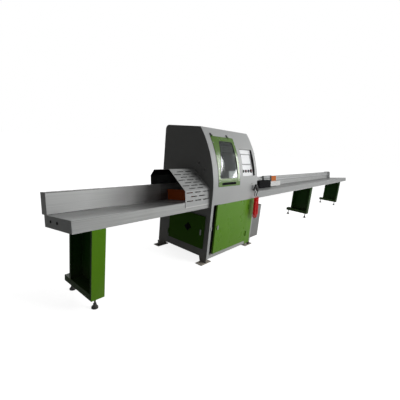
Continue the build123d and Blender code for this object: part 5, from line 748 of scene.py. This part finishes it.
def join(pieces):
    """Joins pieces into the first one."""
    bpy.ops.object.select_all(action="DESELECT")
    for piece in pieces:
        piece.select_set(True)
    bpy.context.view_layer.objects.active = pieces[0]
    bpy.ops.object.join()
    return pieces[0]


def hand_over(piece, name, body, material):
    """Names a finished piece, puts its place into its mesh, and gives it a body and a finish."""
    only(piece)
    bpy.ops.object.transform_apply(location=True, rotation=True, scale=True)
    bpy.ops.object.shade_smooth_by_angle(angle=SMOOTH_BELOW)
    piece.name = name
    piece.data.name = name
    piece.data.materials.clear()
    piece.data.materials.append(material)
    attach(piece, body)
    print(name, "faces", len(piece.data.polygons))


# %% [markdown]
# ## The curly air hose
# A red spiral hose hangs from an outlet under the bed in a U and comes back up to the air gun. Its
# middle line is a smooth curve of nine points. The curls wind round points read from that curve, so
# they open out on the outside of the bend as a real spiral hose does. The whole hose, with its
# straight ends, is one spline, and a round bevel gives it thickness.

# %% Middle line of the curls
MM = 0.001
CURL_PLANE = -520.0
MIDDLE_LINE = (
    (439, 800), (455, 542), (457, 517), (473.5, 497.5), (498, 492), (521.5, 503), (533.5, 525), (529.5, 550),
    (491, 800),
)
MIDDLE_STEPS = 48


def draw_line(name, kind, points):
    """A curve object with one spline of a kind through the air."""
    line = bpy.data.curves.new(name, "CURVE")
    line.dimensions = "3D"
    spline = line.splines.new(kind)
    spline.points.add(len(points) - 1)
    for place, point in zip(spline.points, points):
        place.co = (*point, 1)
    curve = bpy.data.objects.new(name, line)
    bpy.context.collection.objects.link(curve)
    return curve


def smooth_line(name, points):
    """A NURBS curve with its ends on the first and the last point."""
    curve = draw_line(name, "NURBS", points)
    spline = curve.data.splines[0]
    spline.order_u = 3
    spline.use_endpoint_u = True
    return curve


def read_line(curve, steps):
    """The points that a curve runs through, read from Blender's own evaluation of it."""
    curve.data.resolution_u = steps
    bpy.context.view_layer.update()
    drawn = bpy.data.meshes.new_from_object(curve)
    points = [vertex.co.copy() for vertex in drawn.vertices]
    bpy.data.meshes.remove(drawn)
    return points


middle = smooth_line("hose_middle", [Vector((x, CURL_PLANE, z)) * MM for x, z in MIDDLE_LINE])
middle_points = read_line(middle, MIDDLE_STEPS)
bpy.data.curves.remove(middle.data)
print("points on the middle line", len(middle_points))

# %% Curls round the middle line
CURLS = 57
CURL_POINTS = 16
CURL_RADIUS = 0.020 / math.cos(math.pi / CURL_POINTS)
LEG_PITCH = 0.0105
BEND_PITCH = 0.020
BEND_TOP = 0.534
EASED_POINTS = 3

turns = [0.0]
for before, after in zip(middle_points, middle_points[1:]):
    pitch = BEND_PITCH if after.z < BEND_TOP else LEG_PITCH
    turns.append(turns[-1] + (after - before).length / pitch)
turns = [CURLS * count / turns[-1] for count in turns]

across = Vector((0, 1, 0))
curl_points = []
place = 0
for step in range(EASED_POINTS, CURLS * CURL_POINTS + 1 - EASED_POINTS):
    count = step / CURL_POINTS
    while place < len(turns) - 2 and turns[place + 1] < count:
        place += 1
    along = middle_points[place + 1] - middle_points[place]
    share = (count - turns[place]) / (turns[place + 1] - turns[place])
    centre = middle_points[place] + along * share
    beside = along.normalized().cross(across)
    angle = 2 * math.pi * count
    curl_points.append(centre + CURL_RADIUS * (across * math.cos(angle) + beside * math.sin(angle)))
print("curl points", len(curl_points))

# %% Hose
OUTLET_RUN = ((439, -455.4, 905), (439, -500, 905), (439, -500, 861), (439, -500, 820))
GUN_RUN = ((491, -500, 820), (491, -500, 838), (505, -500, 860), (519, -500, 884), (513.2, -500, 895.6))
HOSE_RADIUS = 0.004
MEASURED_STEPS, DRAWN_STEPS = 4, 3

outlet_points, gun_points = ([Vector(point) * MM for point in run] for run in (OUTLET_RUN, GUN_RUN))
hose = smooth_line("air_hose_curl", outlet_points + curl_points + gun_points)
hose_line = read_line(hose, MEASURED_STEPS)
hose.data.resolution_u = DRAWN_STEPS
hose.data.bevel_depth = HOSE_RADIUS
hose.data.bevel_resolution = 2
hose.data.use_fill_caps = True
hose.data.materials.append(hose_red)

# %% Sleeves on the hose ends
SLEEVE_RADIUS = 0.0065
OUTLET_SLEEVE = 0.118
GUN_SLEEVE = 0.080


def hose_sleeve(name, points):
    """A black sleeve that follows the hose's own points, with its two ends rounded off."""
    piece = draw_line(name, "POLY", points)
    piece.data.bevel_depth = SLEEVE_RADIUS
    piece.data.bevel_resolution = 4
    piece.data.use_fill_caps = True
    only(piece)
    bpy.ops.object.convert(target="MESH")
    mode("EDIT")
    bpy.ops.mesh.select_all(action="SELECT")
    bpy.ops.mesh.remove_doubles(threshold=0.00002)
    bpy.ops.mesh.normals_make_consistent(inside=False)
    mode("OBJECT")
    apply_modifier(piece, "BEVEL", width=0.0014, segments=2, angle_limit=math.radians(60))
    bpy.ops.object.shade_smooth_by_angle(angle=math.radians(50))
    piece.data.materials.append(black_plastic)
    return piece


def first_stretch(points, length):
    """The points of a line up to a length from its start."""
    kept = [points[0]]
    run = 0.0
    for before, after in zip(points, points[1:]):
        run += (after - before).length
        kept.append(after)
        if run >= length:
            break
    return kept


outlet_sleeve = hose_sleeve("outlet_sleeve", first_stretch(hose_line, OUTLET_SLEEVE))
gun_sleeve = hose_sleeve("gun_sleeve", first_stretch(hose_line[::-1], GUN_SLEEVE))
for piece in (hose, outlet_sleeve, gun_sleeve):
    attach(piece, "machine")
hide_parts("air_hose")
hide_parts("hose_tails")
print("sleeves", outlet_sleeve.name, gun_sleeve.name)

# %% [markdown]
# ## Fasteners
# A fastener is modelled once, standing on the ground at the origin. Its copies are set on the real
# surface by casting a ray at the solid piece, which gives both the point and the direction in which
# the head has to look.


# %% Fastener models
def upright_cylinder(vertices, radius, height):
    """A cylinder that stands on the XY plane, open in edit mode."""
    bpy.ops.mesh.primitive_cylinder_add(vertices=vertices, radius=radius, depth=height, location=(0, 0, height / 2))
    bpy.ops.object.transform_apply(location=True)
    mode("EDIT")
    return bpy.context.object


def looks_up(face):
    """Whether a face looks up."""
    return face.normal.z > 0.9


def button_head(radius, height):
    """A domed screw head with a round socket."""
    head = upright_cylinder(16, radius, height)
    pick("FACE", looks_up)
    bpy.ops.mesh.inset(thickness=0.5 * radius)
    extrude(0, 0, -0.55 * height)
    pick("EDGE", lambda edge: (
        min(point.co.z for point in edge.verts) > 0.95 * height and edge.verts[0].co.xy.length > 0.9 * radius
    ))
    bpy.ops.mesh.bevel(offset=0.5 * height, segments=2)
    mode("OBJECT")
    return head


def hex_nut(radius, height):
    """A six-sided nut with a raised, chamfered top round its bore."""
    nut = upright_cylinder(6, radius, height)
    bpy.ops.mesh.select_all(action="SELECT")
    bpy.ops.mesh.bevel(offset=0.08 * radius, segments=2)
    pick("FACE", lambda face: looks_up(face) and face.calc_center_median().z > 0.9 * height)
    bpy.ops.mesh.inset(thickness=0.22 * radius)
    extrude(0, 0, 0.12 * height)
    mode("OBJECT")
    return nut


def jack_bolt(radius, rise):
    """A nut with a bolt standing in it, head up, all on one six-sided section."""
    nut_height = 0.7 * radius
    bolt = hex_nut(radius, nut_height)
    mode("EDIT")
    pick("FACE", lambda face: looks_up(face) and face.calc_center_median().z > 1.1 * nut_height)
    bpy.ops.mesh.inset(thickness=0.24 * radius)
    extrude(0, 0, rise)
    extrude(0, 0, 0)
    bpy.ops.transform.resize(value=(1.75, 1.75, 1), center_override=(0, 0, 1.12 * nut_height + rise))
    extrude(0, 0, 0.65 * radius)
    bpy.ops.mesh.bevel(offset=0.08 * radius, segments=2)
    mode("OBJECT")
    return bolt


def pad_hub(radius, neck_radius, height):
    """The cast hub of a levelling pad: a cone with a rounded foot and a short neck."""
    hub = upright_cylinder(24, radius, height)
    pick("FACE", looks_up)
    narrow = neck_radius / radius
    bpy.ops.transform.resize(value=(narrow, narrow, 1), center_override=(0, 0, height))
    extrude(0, 0, 0.35 * height)
    bpy.ops.mesh.inset(thickness=0.2 * neck_radius)
    bpy.ops.transform.translate(value=(0, 0, 0.06 * height))
    pick("EDGE", lambda edge: max(point.co.z for point in edge.verts) < 0.01 * height)
    bpy.ops.mesh.bevel(offset=0.12 * height, segments=2)
    mode("OBJECT")
    return hub


# %% Seats
RIGHT = Vector((1, 0, 0))
INWARD = Vector((0, 1, 0))
DOWN = Vector((0, 0, -1))
# Where rays start: on Y before and behind the machine, and on Z above it.
AHEAD, BEHIND, ABOVE = -1, 1, 2


def seat(name, start, direction):
    """The point and the outward direction where a ray meets a solid piece."""
    hit, place, normal, _ = node[name].ray_cast(Vector(start), direction)
    if not hit:
        raise ValueError(f"no surface of {name} at {start}")
    return place, normal if normal.dot(direction) < 0 else -normal


def front_seats(name, spots):
    """Seats on the front of a piece, each at an X and a Z."""
    return [seat(name, (x, AHEAD, z), INWARD) for x, z in spots]


def set_out(master, name, seats, body, slot, material):
    """Copies a fastener to its seats and joins the copies into one piece."""
    copies = []
    for place, normal in seats:
        copy = master.copy()
        copy.data = master.data.copy()
        bpy.context.collection.objects.link(copy)
        copy.matrix_world = Matrix.Translation(place) @ normal.to_track_quat("Z", "Y").to_matrix().to_4x4()
        copies.append(copy)
    hand_over(join(copies), name, body, material)


small_screw = button_head(radius=0.0055, height=0.0032)
large_screw = button_head(radius=0.0085, height=0.005)
rivet = button_head(radius=0.0042, height=0.0018)
ZINC = ("bright_steel", zinc_steel)
OILED = ("bare_steel", foot_steel)

# %% [markdown]
# ## Screws, rivets and nuts
# Sheet metal is held by rows of small heads. They are spaced as a fitter would space them: at the
# corners first, and then evenly between. Screws that hold the window go round its frame, rivets
# follow the edges of the perforated hood, and larger screws close the back plate. The feet get nuts,
# cast hubs and jack bolts, and two plugs close the end of the outfeed table.

# %% Hatch and hood
hatch_spots = [(x, z) for z in (1.065, 1.22, 1.38, 1.54) for x in (-0.434, 0.038)]
hatch_spots += [(-0.30, 1.60), (-0.12, 1.60)]
set_out(small_screw, "hatch_screws", front_seats("hatch_frame", hatch_spots), "hatch", *ZINC)
HOOD_EDGES = (-0.980, -0.566)
hood_seats = front_seats("hood", [(x, z) for x in HOOD_EDGES for z in (0.73, 0.80, 0.87)])
hood_seats += [seat("hood", (x, y, ABOVE), DOWN) for x in HOOD_EDGES for y in (-0.36, -0.26, -0.16, 0.05, 0.18)]
set_out(rivet, "hood_rivets", hood_seats, "machine", *ZINC)

# %% Cabinet plates
back_spots = [(x, z) for x in (-0.53, 0.53) for z in (0.12, 0.40, 0.68, 0.96, 1.24, 1.52)]
back_spots += [(x, z) for z in (0.10, 1.63) for x in (-0.36, -0.18, 0.18, 0.36)]
back_seats = [seat("cabinet_back", (x, BEHIND, z), -INWARD) for x, z in back_spots]
set_out(large_screw, "back_plate_screws", back_seats, "machine", *ZINC)
box_spots = [(x, z) for x in (0.575, 0.780) for z in (0.15, 0.38, 0.61)]
set_out(small_screw, "service_box_screws", front_seats("service_box", box_spots), "machine", *ZINC)

# %% Pusher
pusher_seats = front_seats("pusher_housing", [(x, z) for x in (1.76, 1.94, 2.18) for z in (0.825, 0.885)])
pusher_seats += [seat("feed_carriage", (x, 0.04, ABOVE), DOWN) for x in (1.76, 1.86, 1.96)]
set_out(small_screw, "pusher_screws", pusher_seats, "carriage", *ZINC)

# %% Feet
BAR_UNDERSIDE = 0.1055
PAD_TOP = 0.0117
PLATE_TOP = 0.010
ANCHOR_X, ANCHOR_Y = 0.6050, 0.4050
STUDS = [(x, y) for x in (-2.043, 3.366, 6.057) for y in (-0.375, 0.036)]
ANCHORS = ((-ANCHOR_X, ANCHOR_Y), (ANCHOR_X, ANCHOR_Y), (ANCHOR_X, -ANCHOR_Y))


def level_seats(spots, height, direction):
    """Seats at one height, all looking the same way."""
    return [(Vector((x, y, height)), direction) for x, y in spots]


stud_nut = hex_nut(radius=0.0150, height=0.0100)
set_out(stud_nut, "levelling_nuts", level_seats(STUDS, BAR_UNDERSIDE, DOWN), "machine", *OILED)
hub = pad_hub(radius=0.0245, neck_radius=0.0145, height=0.024)
set_out(hub, "levelling_pad_hubs", level_seats(STUDS, PAD_TOP, -DOWN), "machine", *OILED)
foot_bolt = jack_bolt(radius=0.0175, rise=0.040)
set_out(foot_bolt, "foot_plate_bolts", level_seats(ANCHORS, PLATE_TOP, -DOWN), "machine", *OILED)

# %% Plugs in the end of the outfeed table
TABLE_END = -2.265
end_plug = button_head(radius=0.0135, height=0.004)
plug_seats = [(Vector((TABLE_END, y, z)), -RIGHT) for y, z in ((-0.1634, 0.7655), (-0.0377, 0.7467))]
set_out(end_plug, "table_end_plugs", plug_seats, "machine", "black_plastic", nose_plastic)
for master in (small_screw, large_screw, rivet, stud_nut, hub, foot_bolt, end_plug):
    bpy.data.meshes.remove(master.data)

# %% [markdown]
# ## Window seal
# A slim black rubber lip frames the window of the hatch. It starts as a plane with the window's
# outline, its corners are rounded by a vertex bevel, and an inset makes the strip. A Shrinkwrap
# modifier lays the flat strip on the curved hatch, and Solidify gives it thickness.

# %% Window seal
SEAL_LEFT, SEAL_RIGHT = -0.4216, -0.0025
SEAL_BOTTOM, SEAL_TOP = 1.1025, 1.5655
SEAL_LEAN = 0.1137
SEAL_WIDTH = 0.006
SEAL_THICKNESS = 0.0025
BEFORE_HATCH = -0.6
NEAR = 0.001
seal_middle = Vector(((SEAL_LEFT + SEAL_RIGHT) / 2, BEFORE_HATCH, (SEAL_BOTTOM + SEAL_TOP) / 2))


def on_right(point):
    """Whether a point is on the right edge of the seal."""
    return point.co.x > SEAL_RIGHT - NEAR


def top_left(point):
    """Whether a point is at the top of the seal's left half."""
    return point.co.x < seal_middle.x and point.co.z > SEAL_TOP - NEAR


def bottom_left(point):
    """Whether a point is the seal's lower left corner."""
    return point.co.x < SEAL_LEFT + NEAR and point.co.z < SEAL_BOTTOM + NEAR


bpy.ops.mesh.primitive_plane_add(size=1, location=seal_middle, rotation=(math.pi / 2, 0, 0))
seal = bpy.context.object
bpy.ops.object.transform_apply(location=True, rotation=True)
mode("EDIT")
bpy.ops.transform.resize(value=(SEAL_RIGHT - SEAL_LEFT, 1, SEAL_TOP - SEAL_BOTTOM), center_override=seal_middle)
pick("VERT", top_left)
bpy.ops.transform.translate(value=(SEAL_LEAN, 0, 0))
for corner, cut in ((on_right, 0.0355), (top_left, 0.0278), (bottom_left, 0.0453)):
    pick("VERT", corner)
    bpy.ops.mesh.bevel(offset=cut, segments=6, affect="VERTICES")
bpy.ops.mesh.select_mode(type="FACE")
bpy.ops.mesh.select_all(action="SELECT")
bpy.ops.mesh.inset(thickness=SEAL_WIDTH)
bpy.ops.mesh.delete(type="FACE")
bpy.ops.mesh.select_all(action="SELECT")
bpy.ops.mesh.subdivide(number_cuts=7)
mode("OBJECT")
apply_modifier(
    seal, "SHRINKWRAP", target=node["hatch_frame"], auxiliary_target=node["hatch_pane"], wrap_method="PROJECT",
    use_project_y=True, use_positive_direction=True, use_negative_direction=False,
)
apply_modifier(seal, "SOLIDIFY", thickness=SEAL_THICKNESS, offset=1)
hand_over(seal, "window_seal", "hatch", belt_rubber)

# %% [markdown]
# ## Control face
# The white face has a gray bezel round its screen and a black collar round each button. Both are
# built flat, where they are easy to measure, and then moved onto the sloping face by one matrix.


# %% Sloping face
def face_matrix(place, normal):
    """Turns a flat piece so that its X stays level and its Z looks out of a sloping face."""
    rise = normal.cross(RIGHT).normalized()
    return Matrix.Translation(place) @ Matrix((RIGHT, rise, normal)).transposed().to_4x4()


def middle_seat(name):
    """The seat at the middle of a piece's front."""
    low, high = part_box(name)
    return seat(name, ((low[0] + high[0]) / 2, AHEAD, (low[2] + high[2]) / 2), INWARD)


# %% Screen bezel
BEZEL_SIZE = (0.268, 0.156)
BEZEL_WIDTH = 0.012
BEZEL_HEIGHT = 0.004
TRIM_ROUND = 0.0012

bpy.ops.mesh.primitive_plane_add(size=1)
bezel = bpy.context.object
mode("EDIT")
bpy.ops.transform.resize(value=(*BEZEL_SIZE, 1))
bpy.ops.mesh.inset(thickness=BEZEL_WIDTH)
bpy.ops.mesh.delete(type="FACE")
bpy.ops.mesh.select_all(action="SELECT")
extrude(0, 0, BEZEL_HEIGHT)
bpy.ops.mesh.select_all(action="SELECT")
bpy.ops.mesh.normals_make_consistent(inside=False)
mode("OBJECT")
apply_modifier(bezel, "BEVEL", width=TRIM_ROUND, segments=2)
bezel.matrix_world = face_matrix(*middle_seat("touch_screen"))
hand_over(bezel, "screen_bezel", "machine", gray_plastic)

# %% Button collars
CAP_RADIUS = {"start_button": 0.0150, "stop_button": 0.0150, "reset_button": 0.0150, "emergency_stop": 0.0215}
COLLAR_RIM = 0.006
COLLAR_HEIGHT = 0.008
COLLAR_DEPTH = 0.0119
BEND_ABOVE = math.radians(50)

collars = []
for button, inner in CAP_RADIUS.items():
    cap_place, cap_normal = middle_seat(button)
    bpy.ops.mesh.primitive_cylinder_add(
        vertices=28, radius=inner + COLLAR_RIM, depth=COLLAR_HEIGHT, end_fill_type="NOTHING",
    )
    collar = bpy.context.object
    apply_modifier(collar, "SOLIDIFY", thickness=0.005, offset=-1)
    apply_modifier(collar, "BEVEL", width=TRIM_ROUND, segments=2, angle_limit=BEND_ABOVE)
    collar.matrix_world = face_matrix(cap_place - cap_normal * COLLAR_DEPTH, cap_normal)
    collars.append(collar)
hand_over(join(collars), "button_collars", "machine", black_plastic)

# %% [markdown]
# ## Lock of the electrical door and bead of the dust port
# The side door has an upright swing lock near its free edge. Behind the machine, the dust port ends
# in a rolled bead that keeps a hose from slipping off.

# %% Side door lock
LOCK_SIZE = (0.007, 0.020, 0.074)
LOCK_LIFT = 0.0036

lock_place, lock_normal = seat("side_door", (-1, -0.335, 0.40), RIGHT)
bpy.ops.mesh.primitive_cube_add(size=1)
lock = bpy.context.object
mode("EDIT")
bpy.ops.transform.resize(value=LOCK_SIZE)
pick("FACE", lambda face: face.normal.x < -0.9)
bpy.ops.mesh.inset(thickness=0.004)
extrude(-0.006, 0, 0)
bpy.ops.transform.resize(value=(1, 0.8, 0.9))
mode("OBJECT")
apply_modifier(lock, "BEVEL", width=0.0015, segments=2)
lock.location = lock_place + lock_normal * LOCK_LIFT
hand_over(lock, "side_door_lock", "electrical_door", gray_plastic)

# %% Dust port bead
PORT_RIM = (-0.060, 0.5255, 0.210)
PORT_RADIUS = 0.0755

bpy.ops.mesh.primitive_cylinder_add(
    vertices=64, radius=PORT_RADIUS, depth=0.007, end_fill_type="NOTHING", location=PORT_RIM,
    rotation=(math.pi / 2, 0, 0),
)
bead = bpy.context.object
apply_modifier(bead, "SOLIDIFY", thickness=0.0045, offset=0.4)
apply_modifier(bead, "BEVEL", width=0.0020, segments=3, angle_limit=BEND_ABOVE)
hand_over(bead, "dust_port_bead", "machine", gray_paint)
